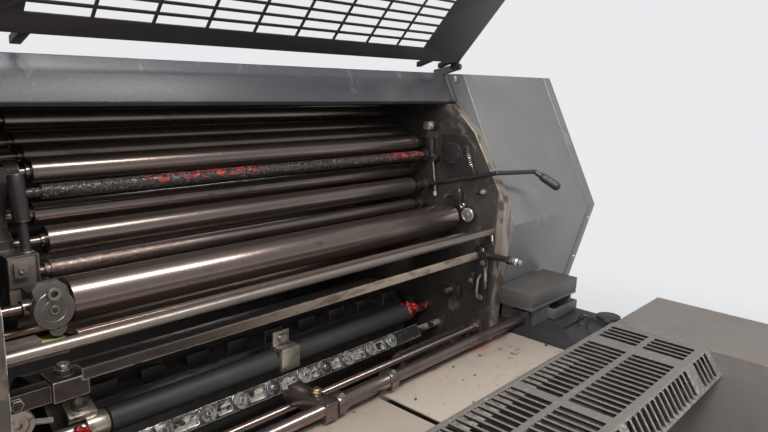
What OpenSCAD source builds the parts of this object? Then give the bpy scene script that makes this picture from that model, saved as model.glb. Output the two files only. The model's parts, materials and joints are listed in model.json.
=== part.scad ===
// Single-colour sheet-fed offset printing press, half-sheet format.
// Frame: X runs along the rollers, -Y is the delivery end, +Y the feeder end, Z is up.
// The origin is on the floor below the middle of the machine.

/* [Machine] */
// Length from the delivery end to the feeder end
press_len = 2800; // [2600:10:3000]
// Width of the right side cover, from the cast frame to its outer face
cover_w = 357; // [335:1:365]
// Room between the rollers' faces and the right side frame
right_room = 35; // [30:1:45]
// Room between the rollers' faces and the left side frame
left_room = 110; // [95:1:125]
// Thickness of a cast side frame
frame_t = 25; // [18:1:25]
// Height of the plinth under the printing unit
plinth_h = 170; // [120:5:200]
// Height of the decks in front of the side covers
deck_z = 975; // [930:1:1020]
// Width of a deck from the cast frame to its outer edge
deck_w = 185; // [175:1:200]
// Step from the decks up to the delivery covers
delivery_step = 15; // [8:1:25]

/* [Beam and guard] */
// Height of the slanted face of the beam
beam_face_h = 55; // [45:1:65]
// Slope of the beam's face, as a setback at its top
beam_setback = 30; // [20:1:40]
// Length of the guard from its hinge edge to its free edge
guard_len = 300; // [260:5:310]
// Depth of the guard with its turned flanges
guard_t = 9; // [7:1:11]
// Number of columns of the guard's window
guard_cols = 9; // [6:1:10]
// Number of rows of the guard's window
guard_rows = 13; // [8:1:14]
// Pitch of the window's columns
guard_pitch_x = 75; // [60:1:76]
// Pitch of the window's rows
guard_pitch_s = 17; // [15:0.5:18]
// Width of a bar of the window
guard_bar = 4; // [3:0.5:6]
// Lean of the raised guard towards the delivery, from upright
guard_lean = 41; // [35:1:50]

/* [Rollers] */
// Length of the ink rollers' faces
roller_face = 740; // [660:2:820]
// Radius of the form roller
form_r = 28; // [24:0.5:30]
// Radius of the ink-caked rod
inked_r = 9; // [6:0.5:11]
// Radius of the thin rider roller above the form roller
thin_r = 12; // [9:0.5:14]
// Radius of the vibrator roller
vibrator_r = 18.5; // [15:0.5:20]
// Radius of the idler roller behind the inked rod
idler_r = 14; // [11:0.5:15]
// Radius of the lower distributor roller
lower_distributor_r = 15.5; // [12:0.5:18]
// Radius of the upper distributor roller
upper_distributor_r = 15.5; // [12:0.5:18]
// Radius of the rider roller
rider_r = 14; // [11:0.5:15.5]
// Radius of the transfer roller under the beam
transfer_r = 15; // [12:0.5:18]
// Radius of the rollers' journals
journal_r = 6; // [4:0.5:7]
// Radial clearance of a journal in its socket
journal_clear = 0.3; // [0.2:0.05:0.5]

/* [Rods and shafts] */
// Radius of the cross rod in front of the tray
cross_rod_r = 7; // [5:0.5:8]
// Radius of the thin guide shaft
guide_shaft_r = 6; // [4:0.5:8]
// Radius of the delivery shaft
delivery_shaft_r = 10; // [8:0.5:12]
// Radius of the clamp bar in front of the transfer drum
clamp_bar_r = 19; // [15:0.5:20]
// Radius of the transfer drum
drum_r = 100; // [90:1:105]
// Radius of the blanket cylinder
blanket_r = 110; // [95:1:115]

/* [Grippers] */
// Height of the gripper bar's face
gripper_h = 26; // [20:1:30]
// Depth of the gripper bar
gripper_depth = 16; // [12:1:20]
// Radius of a gripper pad
gripper_r = 13.5; // [10:0.5:15]
// Depth of the pockets between the pads
pocket_depth = 4; // [2:0.5:6]

/* [Delivery] */
// Width of each delivery side cover
delivery_side_w = 240; // [225:1:250]
// How far a delivery side cover stands out past the side cover
delivery_out = 2; // [0:1:10]
// Depth of the grille from its rear edge to its front ridge
grille_depth = 183; // [160:1:190]
// Height of the grille's louvred front
grille_drop = 68; // [50:1:80]
// Thickness of the grille's sheet
grille_t = 4; // [3:0.5:6]
// Number of slots in a full group of the grille
slots_in_group = 14; // [8:1:14]
// Distance from one group of slots to the next
group_pitch = 266; // [260:2:280]
// Pitch of the grille's slots
slot_pitch = 17.8; // [16:0.1:18]
// Width of a slot
slot_w = 12.5; // [8:0.5:13]
// Length of a slot
slot_len = 72; // [50:1:74]
// Thickness of the sheet guide plates
plate_t = 3; // [2:0.5:4]

/* [Hidden] */
$fn = 48;

// Inner and outer faces of the side frames, and the covers' outer faces
half_face = roller_face / 2;
right_in = half_face + right_room;
right_out = right_in + frame_t;
left_in = -half_face - left_room;
left_out = left_in - frame_t;
cover_out = right_out + cover_w;
delivery_x = cover_out + delivery_out;
gap_half = delivery_x - delivery_side_w;
deck_x = right_out + deck_w;
front_y = -press_len / 2;
rear_y = press_len / 2;
// Gap between parts that seat on each other
seat = 0.3;

// Axes of the rollers, as [y, z], from the form roller up to the beam
form_yz = [-172, deck_z + 203];
thin_yz = form_yz + (form_r + thin_r + 49) * [0.9857, 0.1684];
vibrator_yz = thin_yz + (thin_r + vibrator_r + 8) * [0.182, 0.983];
idler_yz = vibrator_yz + (vibrator_r + idler_r + 4.7) * [0.51, 0.86];
inked_yz = idler_yz + (idler_r + inked_r + 26.5) * [-0.727, 0.687];
lower_distributor_yz = inked_yz + (inked_r + lower_distributor_r + 6.7) * [0.64, 0.768];
upper_distributor_yz = lower_distributor_yz
  + (lower_distributor_r + upper_distributor_r + 10.8) * [0.933, 0.359];
rider_yz = upper_distributor_yz + (upper_distributor_r + rider_r + 4.3) * [0.888, 0.459];
transfer_yz = rider_yz + (rider_r + transfer_r + 11.5) * [0.741, 0.671];
// The rollers that run in the left bracket, from the bottom up
bracket_axes = [
  thin_yz, vibrator_yz, idler_yz, lower_distributor_yz, upper_distributor_yz, rider_yz,
  transfer_yz
];
socket_len = 19;
socket_wall = 5;

// Beam over the rollers
beam_y = -142;
beam_low = transfer_yz[1] + transfer_r + 16.5;
beam_top = beam_low + beam_face_h;
beam_drip = 6;
beam_slot = 7;
frame_top_z = beam_low - beam_drip - seat;

// Front outline of the side covers and the cast frames
cover_top = beam_top - 1;
cover_front_y = -151;
cover_bend_y = -297;
cover_bend_z = deck_z + 201;
cover_foot_y = -245;
cover_back_y = 430;
cover_back_z = deck_z + 365;
end_panel_t = 34;
cover_groove = 3;
frame_lip_y = -287;

// Bracket that carries the rollers' left journals
bracket_in = -half_face - 34;
bracket_t = 20;
lip_reach = 15;
lip_half = 9;

// Post that ties the inked rod and the distributor to the bracket below
post_x = -half_face - 26;
post_top_yz = lower_distributor_yz + [-17, -6];
post_foot_yz = vibrator_yz + [-33, -14];

// Axes of the rods and shafts
cross_rod_yz = [-262, deck_z + 185];
guide_shaft_yz = [-250, deck_z - 12];
delivery_shaft_yz = [-323, deck_z + 12];
clamp_bar_yz = [-105, deck_z - 9];
gripper_yz = [-148, deck_z - 35];
blanket_yz = [130, deck_z + 155];
drum_yz = [12, deck_z - 70];
plate_z = deck_z - 9;

// Guard hinge, over the beam's front edge, and the raised guard's hinge edge
hinge_yz = [beam_y - 8, beam_top + 13];
guard_edge_yz = hinge_yz + [-10, 7];
hinge_r = 3.5;
hinge_boss_r = 7;
side_gap = 5;
guard_x0 = left_in + side_gap;
guard_x1 = right_in - side_gap;
guard_window_x1 = guard_x1 - 127;
guard_lip_s = 28;
guard_sheet = 2.5;
ear_t = 4;
ear_inset = 1;
stay_w = 12;
stay_inset = 8;
stay_pitch = 66;

// Control lever: its pivot and hub
lever_pivot_yz = [-110, deck_z + 265];
lever_hub_x = right_in - 29;
lever_hub_w = 12;
lever_pin_r = 5;
lever_r = 4.5;

// Gripper bar
gripper_x0 = -half_face + 25;
gripper_x1 = half_face - 40;
gripper_tilt = 35;
pad_x = [-248, -174, -114, -50, 18, 66, 122, 184, 241];
pad_gap = 4;

// Delivery
delivery_z = deck_z + delivery_step;
grille_rear_y = -464;
grille_front_y = grille_rear_y - grille_depth;
grille_lean = 27;
first_slot_x = gap_half - 20;
row_gap = 11;
finger_len = 46;
deck_rear_y = cover_foot_y;
deck_front_y = grille_rear_y - 3;
deck_t = 12;
rail_w = 60;
rail_inset = 60;
foot_h = 20;
foot_r = 45;
foot_room = 12;

// Along X: a round bar between x0 and x1 on the axis yz
module x_bar(yz, r, x0, x1) {
  translate([x0, yz[0], yz[1]]) rotate([0, 90, 0]) cylinder(r = r, h = x1 - x0);
}

// Along X: an outline in Y and Z, extruded between x0 and x1
module x_profile(points, x0, x1) {
  translate([x0, 0, 0]) rotate([90, 0, 90]) linear_extrude(x1 - x0) polygon(points);
}

// A box between two corners
module block(a, b) {
  translate(a) cube(b - a);
}

// A roller: its face, its shoulders and the journals that run in the sockets
module roller(yz, r, face) {
  half = face / 2;
  shoulder = min(r - 1, journal_r + 3);
  x_bar(yz, r, -half, half);
  x_bar(yz, shoulder, -half - 6, half + 6);
  x_bar(yz, journal_r, bracket_in - bracket_t + 2, right_in - 4);
}

module left_side() {
  mirror([1, 0, 0]) children();
}

module base_plinth() {
  half = gap_half + rail_w / 2 - foot_r - foot_room;
  color([0.16, 0.16, 0.17]) block([-half, -300, 0], [half, 420, plinth_h]);
}

// Rail that carries the covers of one side, on four levelling feet
module base_rail() {
  block([gap_half, front_y + rail_inset, foot_h], [gap_half + rail_w, rear_y - rail_inset, plinth_h]);
  for (y = [front_y + 120, -220, 340, rear_y - 120])
    translate([gap_half + rail_w / 2, y, 0]) cylinder(r = foot_r, h = foot_h);
}

module base_rail_right() {
  color([0.16, 0.16, 0.17]) base_rail();
}

module base_rail_left() {
  color([0.16, 0.16, 0.17]) left_side() base_rail();
}

// Cast side plate with its stepped front edge
module side_frame(x0, x1) {
  x_profile([
    [-277, plinth_h], [-277, deck_z + 78], [frame_lip_y, deck_z + 128],
    [frame_lip_y, deck_z + 241], [-206, frame_top_z - 53], [-150, frame_top_z],
    [320, frame_top_z], [400, deck_z + 325], [400, plinth_h]
  ], x0, x1);
}

module side_frame_right() {
  color([0.55, 0.47, 0.38]) side_frame(right_in, right_out);
}

module side_frame_left() {
  color([0.55, 0.47, 0.38]) side_frame(left_out, left_in);
}

// Outline of the upper covers, drawn in by the amount i
function cover_outline(i) = [
  [cover_foot_y + i, deck_z], [cover_bend_y + i, cover_bend_z], [cover_front_y + i, cover_top - i],
  [340 - i, cover_top - i], [cover_back_y - i, cover_back_z - i], [cover_back_y - i, deck_z]
];

// Upper cover: six-sided housing, a groove and the end panel with its broken edge
module side_cover(x_in) {
  panel_x = cover_out - end_panel_t;
  x_profile(cover_outline(0), x_in, panel_x - cover_groove);
  x_profile(cover_outline(cover_groove), panel_x - cover_groove, panel_x);
  x_profile(cover_outline(0), panel_x, cover_out - 2);
  x_profile(cover_outline(2), cover_out - 2, cover_out);
}

module side_cover_right() {
  color([0.41, 0.42, 0.44]) side_cover(right_out);
}

module side_cover_left() {
  color([0.41, 0.42, 0.44]) left_side() side_cover(-left_out);
}

// Cover below the deck, with a raised door and its grip recess
module lower_cover(x_in) {
  face = cover_out - 12;
  top = deck_z - deck_t;
  difference() {
    union() {
      block([x_in, deck_front_y, plinth_h], [deck_x - 12, deck_rear_y, top]);
      block([x_in, deck_rear_y, plinth_h], [face, cover_back_y, deck_z]);
      block([face, deck_rear_y + 45, plinth_h + 50], [face + 6, cover_back_y - 40, top - 60]);
    }
    block([face - 10, 40, top - 180], [face + 10, 160, top - 140]);
  }
}

module lower_cover_right() {
  color([0.3, 0.31, 0.33]) lower_cover(right_out);
}

module lower_cover_left() {
  color([0.3, 0.31, 0.33]) left_side() lower_cover(-left_out);
}

// Rear panels between the frames, below and above the slot where the sheets come in
module rear_panel() {
  x0 = left_in + seat;
  x1 = right_in - seat;
  low = deck_z + 70;
  color([0.3, 0.31, 0.33]) {
    block([x0, 380, plinth_h], [x1, 400, deck_z + 5]);
    x_profile([
      [398, low], [398, deck_z + 324], [320, frame_top_z - 2], [300, frame_top_z - 2],
      [300, frame_top_z - 8], [317, frame_top_z - 8], [392, deck_z + 322], [392, low]
    ], x0, x1);
  }
}

// Beam with its slanted front face, and the strip that closes it at the right cover
module top_beam() {
  outline = [
    [beam_y, beam_low], [beam_y + 8, beam_low - beam_drip], [-60, beam_low - beam_drip],
    [40, beam_low + 10], [60, beam_top - 20], [50, beam_top], [beam_y + beam_setback, beam_top]
  ];
  color([0.28, 0.28, 0.3]) {
    x_profile(outline, left_in - side_gap, right_in + side_gap);
    x_profile(outline, right_in + side_gap + beam_slot, right_out - seat);
  }
}

// Boss that holds a hinge pin of the guard, on an arm from the top of a side frame
module hinge_bracket(x0, x1) {
  top = beam_y + beam_setback;
  difference() {
    union() {
      x_bar(hinge_yz, hinge_boss_r, x0, x1);
      x_profile([
        [beam_y + 10, frame_top_z], [beam_y + 6, beam_low + 4], [top - 2, beam_top - 4],
        hinge_yz + [-5, -5], hinge_yz + [-2, 6.5], [top + 22, beam_top + 6],
        [top + 22, frame_top_z]
      ], x0, x1);
    }
    x_bar(hinge_yz, hinge_r + journal_clear, x0 - 1, x1 + 1);
  }
}

module hinge_brackets() {
  color([0.28, 0.28, 0.3]) {
    hinge_bracket(right_in + side_gap + seat, right_in + side_gap + beam_slot - seat);
    hinge_bracket(left_in - side_gap - beam_slot + seat, left_in - side_gap - seat);
  }
}

// Duct behind the beam, its blade and the row of ink keys
module ink_duct() {
  top = beam_top - 4;
  color([0.3, 0.3, 0.31]) {
    x_profile([
      [70, frame_top_z], [64, top - 14], [84, top], [170, top], [260, top - 34],
      [260, frame_top_z]
    ], left_in - side_gap, right_in + side_gap);
    for (x = [left_in + 60 : 45 : right_in - 60])
      translate([x, 215, top - 24]) rotate([-60, 0, 0]) {
        cylinder(r = 7, h = 40);
        translate([0, 0, 18]) cylinder(r = 12, h = 14, $fn = 12);
      }
  }
}

module transfer_roller() {
  color([0.22, 0.2, 0.2]) roller(transfer_yz, transfer_r, roller_face);
}

module rider_roller() {
  color([0.35, 0.33, 0.32]) roller(rider_yz, rider_r, roller_face);
}

module upper_distributor() {
  color([0.35, 0.33, 0.32]) roller(upper_distributor_yz, upper_distributor_r, roller_face);
}

module lower_distributor() {
  color([0.35, 0.33, 0.32]) roller(lower_distributor_yz, lower_distributor_r, roller_face + 8);
}

// Rod under the distributors, which runs in the post at its left end
module inked_rod() {
  color([0.1, 0.06, 0.06]) {
    x_bar(inked_yz, inked_r, -half_face, half_face);
    x_bar(inked_yz, journal_r, post_x - 6, right_in - 4);
  }
}

module idler_roller() {
  color([0.3, 0.3, 0.28]) roller(idler_yz, idler_r, roller_face);
}

module vibrator_roller() {
  color([0.35, 0.33, 0.32]) roller(vibrator_yz, vibrator_r, roller_face - 14);
}

module thin_rider() {
  color([0.38, 0.33, 0.3]) roller(thin_yz, thin_r, roller_face - 14);
}

// Form roller, with a long left journal and its collar
module form_roller() {
  half = half_face + 8;
  color([0.33, 0.31, 0.3]) {
    x_bar(form_yz, form_r, -half, half);
    x_bar(form_yz, journal_r + 3, -half - 6, half + 6);
    x_bar(form_yz, journal_r, left_in + 4, right_in - 4);
    x_bar(form_yz, journal_r + 4, -half_face - 58, -half_face - 46);
  }
}

// A socket on the inner face of a side frame that starts at x0 and ends at x1
module socket(yz, x0, x1, open_x) {
  difference() {
    x_bar(yz, journal_r + socket_wall, x0, x1);
    x_bar(yz, journal_r + journal_clear, open_x - 1, open_x + abs(x1 - x0) - 2);
  }
}

// Holders at the rollers' right ends, with the pieces that set them
module bearings_right() {
  x0 = right_in - socket_len;
  face = right_in - seat;
  color([0.2, 0.2, 0.2]) {
    for (yz = concat([form_yz, inked_yz], bracket_axes)) difference() {
      x_bar(yz, journal_r + socket_wall, x0, face);
      x_bar(yz, journal_r + journal_clear, x0 - 1, right_in - 3);
    }
    x_bar(lever_pivot_yz, lever_pin_r, lever_hub_x - 3, face);
    adjusting_rod();
    bearing_box();
    gauge();
    nipple_stub();
  }
}

// Clamp on a pin and the rod that hangs from it to the lever's side
module adjusting_rod() {
  top = [right_in - 20, -104, lever_pivot_yz[1] + 119];
  x_bar([top[1], top[2]], 4, top[0] + 6, right_in - seat);
  block(top - [7, 8, 8], top + [7, 8, 8]);
  translate(top) rotate([-11, 0, 0]) translate([0, 0, -64]) cylinder(r = 3.5, h = 60);
  translate(top + [0, -13, -66]) rotate([0, 90, 0]) cylinder(r = 8, h = 19.7);
}

// Chamfered box with the spring rod on its slanted face
module bearing_box() {
  top = deck_z + 370;
  x_profile([
    [-128, top], [-190, top], [-214, top - 24], [-220, top - 78], [-150, top - 88], [-128, top - 60]
  ], right_in - 5, right_in - seat);
  x_bar([-160, top - 38], 20, right_in - 12, right_in - 4);
  x_bar([-191, top - 27], 6, right_in - 9, right_in - 4);
  translate([right_in - 5, -194, top - 29]) rotate([-22, 0, 0]) translate([0, 0, -54])
    cylinder(r = 3, h = 54);
  x_bar([-226, top - 113], 6, right_in - 4, right_in - seat);
  translate([right_in - 6.5, -224, top - 113]) rotate([70, 0, 0]) cylinder(r = 4.5, h = 20);
}

// Round gauge with its screw
module gauge() {
  yz = form_yz + [-37, 9];
  x_bar(yz, 14, right_in - 11, right_in - seat);
  x_bar(yz, 10, right_in - 13, right_in - 10);
  x_bar(yz + [15, 16], 6, right_in - 8, right_in - seat);
}

// Stub arm that reaches out below the cross rod
module nipple_stub() {
  z = deck_z + 138;
  block([right_in - 14, -262, z - 8], [right_in - seat, -246, z + 8]);
  translate([right_in - 7, -261, z]) rotate([90, 0, 0]) cylinder(r = 6, h = 58);
  translate([right_in - 7, -306, z]) rotate([90, 0, 0]) cylinder(r = 9, h = 10, $fn = 6);
  translate([right_in - 7, -318, z]) rotate([90, 0, 0]) cylinder(r = 5, h = 16);
}

// Casting that carries the rollers' left journals in lips open to the front
module bearings_left() {
  x1 = bracket_in;
  x0 = x1 - bracket_t;
  low = vibrator_yz[1] - 3;
  color([0.2, 0.2, 0.2]) difference() {
    union() {
      x_profile(concat(
        [[-60, deck_z + 165], [-118, deck_z + 172], [-126, deck_z + 180], [-126, low]],
        [for (yz = concat([vibrator_yz, idler_yz], [for (i = [3 : 6]) bracket_axes[i]]))
          each [yz + [-lip_reach, -lip_half], yz + [-lip_reach, lip_half]]],
        [[60, transfer_yz[1] + lip_half], [60, deck_z + 165]]
      ), x0, x1);
      block([x0, -126, deck_z + 180], [x1 + 16, -60, low - seat]);
      x_bar(lower_distributor_yz, journal_r + 7, x1 - 1, x1 + 15);
      block([left_in + seat, -20, deck_z + 190], [x0 + 1, 50, deck_z + 230]);
      block([left_in + seat, 0, frame_top_z - 90], [x0 + 1, 50, frame_top_z - 50]);
      roller_post();
      form_holder();
    }
    for (yz = bracket_axes) x_bar(yz, journal_r + journal_clear, x0 - 1, x1 + 20);
    x_bar(inked_yz, journal_r + journal_clear, post_x - 8, x1 + 40);
    x_bar(form_yz, journal_r + journal_clear, x0 - 60, x1 + 60);
  }
}

// Post from the distributor's holder down to the casting
module roller_post() {
  run = post_top_yz - post_foot_yz;
  lean = atan2(-run[0], run[1]);
  translate([post_x, post_foot_yz[0], post_foot_yz[1]]) rotate([lean, 0, 0]) {
    cylinder(r = 6, h = norm(run) - 10);
    cylinder(r = 9, h = 10);
    translate([0, 0, norm(run) - 52]) cylinder(r = 10, h = 58);
  }
}

// Holder of the form roller's left end, with the round eccentric plate on its front
module form_holder() {
  x = post_x - 6;
  z = form_yz[1];
  front = form_yz[0] - 31;
  block([x - 10, front, z - 12], [x + 10, -122, z + 12]);
  translate([x - 3, front + 1, z + 4]) rotate([90, 0, 0]) cylinder(r = 22, h = 9);
  translate([x - 3, front + 1, z + 4]) rotate([90, 0, 0]) linear_extrude(9)
    polygon([[-18, 12], [-22, 26], [-16, 33], [6, 33], [14, 26], [18, 12]]);
  translate([x - 4, front - 7, z + 24]) rotate([90, 0, 0]) cylinder(r = 7, h = 4);
}

// Tray below the form roller, with its rolled front edge and the rod that carries it
module drip_tray() {
  z = deck_z + 178;
  color([0.43, 0.37, 0.33]) {
    x_bar([-110, z - 27], 5, left_in + seat, right_in - seat);
    x_bar([-216, z - 2.5], 2.5, -half_face - 14, half_face + 10);
    x_profile([
      [-217, z - 4], [-200, z - 12], [-140, z - 24], [-100, z - 24], [-100, z - 21],
      [-140, z - 21], [-200, z - 9], [-212, z]
    ], -half_face - 14, half_face + 10);
  }
}

module cross_rod() {
  color([0.7, 0.7, 0.7]) x_bar(cross_rod_yz, cross_rod_r, left_in + seat, right_in - seat);
}

// Narrow lip below the cross rod, with the block that ties its left end to the frame
module lower_lip() {
  z = deck_z + 140;
  x0 = -half_face - 22;
  color([0.45, 0.38, 0.3]) {
    x_profile([[-243, z], [-243, z - 12], [-239, z - 12], [-239, z]], x0, right_in - seat);
    x_bar([-240.5, z], 2.5, x0, right_in - seat);
    block([left_in + seat, -236, z - 30], [x0 - 30, -218, z - 10]);
    block([x0 - 32, -242, z - 30], [x0 + 8, -206, z - 6]);
    translate([x0 - 13, -224, z - 7]) cylinder(r = 9, h = 9);
    translate([left_in + 20, -235, z - 20]) rotate([90, 0, 0]) cylinder(r = 7, h = 6, $fn = 6);
  }
}

// Drum of the transfer grippers, flattened in front of the clamp bar, with a row of blocks
module transfer_drum() {
  flat_y = clamp_bar_yz[0] + clamp_bar_r + 12;
  color([0.13, 0.12, 0.12]) {
    difference() {
      x_bar(drum_yz, drum_r, -half_face, half_face);
      block([-half_face - 1, flat_y - 100, drum_yz[1] - 20], [half_face + 1, flat_y, deck_z + 60]);
    }
    x_bar(drum_yz, 20, left_in + seat, right_in - seat);
    for (i = [0 : 8]) translate([-half_face + 60 + i * 78, flat_y + 14, drum_yz[1] + 60])
      cube([40, 14, 35]);
  }
}

// Dark bar with its worn end sleeve, the end plate, a collar and the clamp over its middle
module clamp_bar() {
  y = clamp_bar_yz[0];
  z = clamp_bar_yz[1];
  color([0.09, 0.09, 0.09]) {
    x_bar(clamp_bar_yz, clamp_bar_r, -half_face + 62, half_face - 44);
    x_bar(clamp_bar_yz, clamp_bar_r - 1, -half_face + 30, -half_face + 60);
    x_bar(clamp_bar_yz, 9, left_in + seat, right_in - seat);
    x_bar(clamp_bar_yz, clamp_bar_r - 2, half_face - 40, half_face - 20);
    translate([-half_face + 8, y - 4, z + 14]) rotate([28, 0, 0]) {
      cube([38, 30, 12]);
      translate([19, 15, 0]) cylinder(r = 10, h = 16);
    }
    block([-16, y - clamp_bar_r - 6, z - 16], [24, y - clamp_bar_r + 2, z + 24]);
    block([-16, y - clamp_bar_r - 6, z + 18], [24, y + 6, z + 24]);
    block([-14, y + 1, z + 18], [20, y + 6, z + 48]);
    translate([3, y + 2, z + 36]) rotate([90, 0, 0]) cylinder(r = 8, h = 7);
  }
}

module blanket_cylinder() {
  color([0.25, 0.25, 0.27]) {
    x_bar(blanket_yz, blanket_r, -half_face, half_face);
    x_bar(blanket_yz, 25, left_in + seat, right_in - seat);
  }
}

// Gripper bar: a tilted face with pads, and worn plates in the pockets between them
module gripper_bar() {
  h = gripper_h / 2;
  color([0.6, 0.6, 0.58]) {
    x_bar(gripper_yz + [9, -4], 7, left_in + seat, right_in - seat);
    translate([0, gripper_yz[0], gripper_yz[1]]) rotate([90 - gripper_tilt, 0, 0]) {
      difference() {
        translate([gripper_x0, -h, -gripper_depth]) cube([gripper_x1 - gripper_x0, 2 * h, gripper_depth]);
        for (i = [0 : len(pad_x) - 2]) {
          x0 = pad_x[i] + gripper_r + pad_gap;
          x1 = pad_x[i + 1] - gripper_r - pad_gap;
          translate([x0, -h + 4, -pocket_depth]) cube([x1 - x0, 2 * h - 8, pocket_depth + 1]);
        }
      }
      for (x = pad_x) translate([x, 0, 0]) {
        cylinder(r = gripper_r, h = 4);
        cylinder(r = 4, h = 6, $fn = 6);
      }
    }
  }
}

// Guide shaft, with the toothed strip behind its right half and the clamp at its end
module guide_shaft() {
  y = guide_shaft_yz[0];
  z = guide_shaft_yz[1];
  strip_x = half_face - 210;
  color([0.5, 0.48, 0.46]) {
    x_bar(guide_shaft_yz, guide_shaft_r, left_in + seat, right_in - seat);
    x_bar(guide_shaft_yz, guide_shaft_r + 5, half_face, half_face + 12);
    block([half_face + 16, y - 10, z - 12], [right_in - seat, y + 12, z + 14]);
    block([strip_x - 6, y + 14, z - 16], [half_face - 6, y + 18, z]);
    for (i = [0 : 22]) block([strip_x + i * 9, y + 10, z - 12], [strip_x + i * 9 + 4.5, y + 18, z + 4]);
    block([strip_x - 6, y - 2, z - 16], [strip_x + 8, y + 17, z - 4]);
    block([half_face - 16, y - 2, z - 16], [half_face - 6, y + 17, z - 4]);
  }
}

// Delivery shaft, with its collars and the clamp that holds it to the guide shaft
module delivery_shaft() {
  y = delivery_shaft_yz[0];
  z = delivery_shaft_yz[1];
  g = guide_shaft_yz;
  color([0.5, 0.48, 0.46]) {
    x_bar(delivery_shaft_yz, delivery_shaft_r, left_out - 14, right_out + 14);
    x_bar(delivery_shaft_yz, delivery_shaft_r + 2, -62, 40);
    x_bar(delivery_shaft_yz, delivery_shaft_r + 6, 35, 51);
    x_bar(delivery_shaft_yz, delivery_shaft_r + 6, -76, -60);
    difference() {
      block([-100, y - 12, z - 16], [-78, g[0] + 12, z + 12]);
      x_bar(g, guide_shaft_r + seat, -101, -77);
      block([-101, g[0] + 2, z - 2], [-77, g[0] + 20, z + 20]);
    }
    translate([-89, y + 22, z + 10]) cylinder(r = 6, h = 8, $fn = 6);
  }
}

// The two sheet guide plates in front of the shafts, with a gap between them
module sheet_guide_plates() {
  top = plate_z;
  gap_x = 30;
  color([0.72, 0.68, 0.62]) {
    block([gap_x, grille_rear_y - 14, top - plate_t], [right_in - seat, -315, top]);
    block([left_in + seat, grille_rear_y - 14, top - plate_t], [gap_x - 13, -315, top]);
    block([left_in + seat, -318, top - 20], [right_in - seat, -314, top - plate_t - seat]);
  }
}

// Slotted cover over the delivery: groups of slots in two rows between plain bands, and
// a front that is rolled down past the ridge into slanted, slotted fingers
module delivery_grille() {
  out = grille_drop * 0.38;
  mid = delivery_z - grille_drop * 0.6;
  low = delivery_z - grille_drop;
  ridge = grille_front_y;
  slot_rows = [grille_rear_y - 9 - slot_len, grille_rear_y - 9 - 2 * slot_len - row_gap];
  groups = [
    for (n = [0 : floor((2 * gap_half - 60) / group_pitch)])
      first_slot_x - 104 - n * group_pitch
  ];
  slots = concat(
    [for (i = [0 : 3]) first_slot_x - i * slot_pitch],
    [for (x = groups, i = [0 : slots_in_group - 1])
      if (x - i * slot_pitch > -gap_half + 24) x - i * slot_pitch]
  );
  color([0.3, 0.28, 0.27]) difference() {
    x_profile([
      [grille_rear_y, delivery_z], [ridge + 6, delivery_z], [ridge, delivery_z - 3],
      [ridge - out, mid], [ridge - out + 4, mid - 4], [ridge - 4, low], [ridge + 2, low + 4],
      [ridge - out + 8, mid], [ridge + 5, delivery_z - 8], [ridge + 9, delivery_z - grille_t],
      [grille_rear_y, delivery_z - grille_t]
    ], -gap_half + seat, gap_half - seat);
    for (x = slots) {
      for (y = slot_rows)
        block([x - slot_w, y, delivery_z - grille_t - 1], [x, y + slot_len, delivery_z + 1]);
      block([x - slot_w, ridge - out - 10, delivery_z - finger_len + 8],
        [x, ridge + 4, delivery_z - 1.5]);
    }
  }
}

// Deck in front of a side cover, with the block that carries the delivery shaft
module deck(x_in, x_frame) {
  difference() {
    union() {
      translate([0, 0, deck_z - deck_t]) linear_extrude(deck_t) polygon([
        [x_in, deck_front_y], [x_in, frame_lip_y - 3], [x_frame, frame_lip_y - 3],
        [x_frame, deck_rear_y], [deck_x, deck_rear_y], [deck_x, deck_front_y]
      ]);
      block([x_frame, delivery_shaft_yz[0] - 18, deck_z],
        [x_frame + 15, delivery_shaft_yz[0] + 18, deck_z + 30]);
    }
    x_bar(delivery_shaft_yz, delivery_shaft_r + journal_clear, x_in - 1, x_frame + 16);
  }
}

// Right deck, with a sunk pocket for its ring pull and a low cap near the side
module deck_right() {
  color([0.25, 0.24, 0.24]) {
    difference() {
      deck(right_in, right_out);
      block([right_out + 48, -452, deck_z - 6], [right_out + 150, -392, deck_z + 1]);
    }
    translate([right_out + 118, -405, deck_z + 4]) rotate([0, 90, 20])
      rotate_extrude($fn = 24) translate([10, 0]) circle(r = 2, $fn = 12);
    translate([deck_x - 8, -432, deck_z - deck_t]) cylinder(r = 24, h = deck_t + 5);
  }
}

module deck_left() {
  color([0.25, 0.24, 0.24]) left_side() deck(-left_in, -left_out);
}

// Junction box: a lid that overhangs a lower tray, which is open towards the delivery
module junction_box() {
  x0 = right_out + 17;
  x1 = deck_x + 2;
  rear = cover_bend_y + 30;
  color([0.2, 0.2, 0.21]) difference() {
    union() {
      block([x0, -346, deck_z], [x1 - 14, rear - 4, deck_z + 36]);
      block([right_out, -350, deck_z + 34], [x1, rear, deck_z + 68]);
      block([x1 - 112, -362, deck_z + 2], [x1 - 16, -340, deck_z + 24]);
    }
    block([x1 - 108, -358, deck_z + 6], [x1 - 20, -306, deck_z + 32]);
    block([right_out - 1, -352, deck_z + 40], [x1 + 1, -348.5, deck_z + 42]);
  }
}

// Bent rod with a grip, on a hub that turns on a pin in the side frame
module control_lever() {
  pass = [right_in - 11, -270, deck_z + 304];
  bend = [right_out + 56, -300, deck_z + 303];
  tip = [right_out + 73, -340, deck_z + 278];
  hub = [lever_hub_x + lever_hub_w / 2, lever_pivot_yz[0] - 9, lever_pivot_yz[1]];
  color([0.1, 0.1, 0.1]) {
    difference() {
      union() {
        x_bar(lever_pivot_yz, 9, lever_hub_x, lever_hub_x + lever_hub_w);
        rod(hub, pass, lever_r, lever_r);
      }
      x_bar(lever_pivot_yz, lever_pin_r + journal_clear, lever_hub_x - 1, lever_hub_x + 20);
    }
    rod(pass, bend, lever_r, lever_r);
    rod(bend, bend + 0.45 * (tip - bend), lever_r, 7);
    rod(bend + 0.4 * (tip - bend), tip, 8.5, 9);
  }
}

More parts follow.
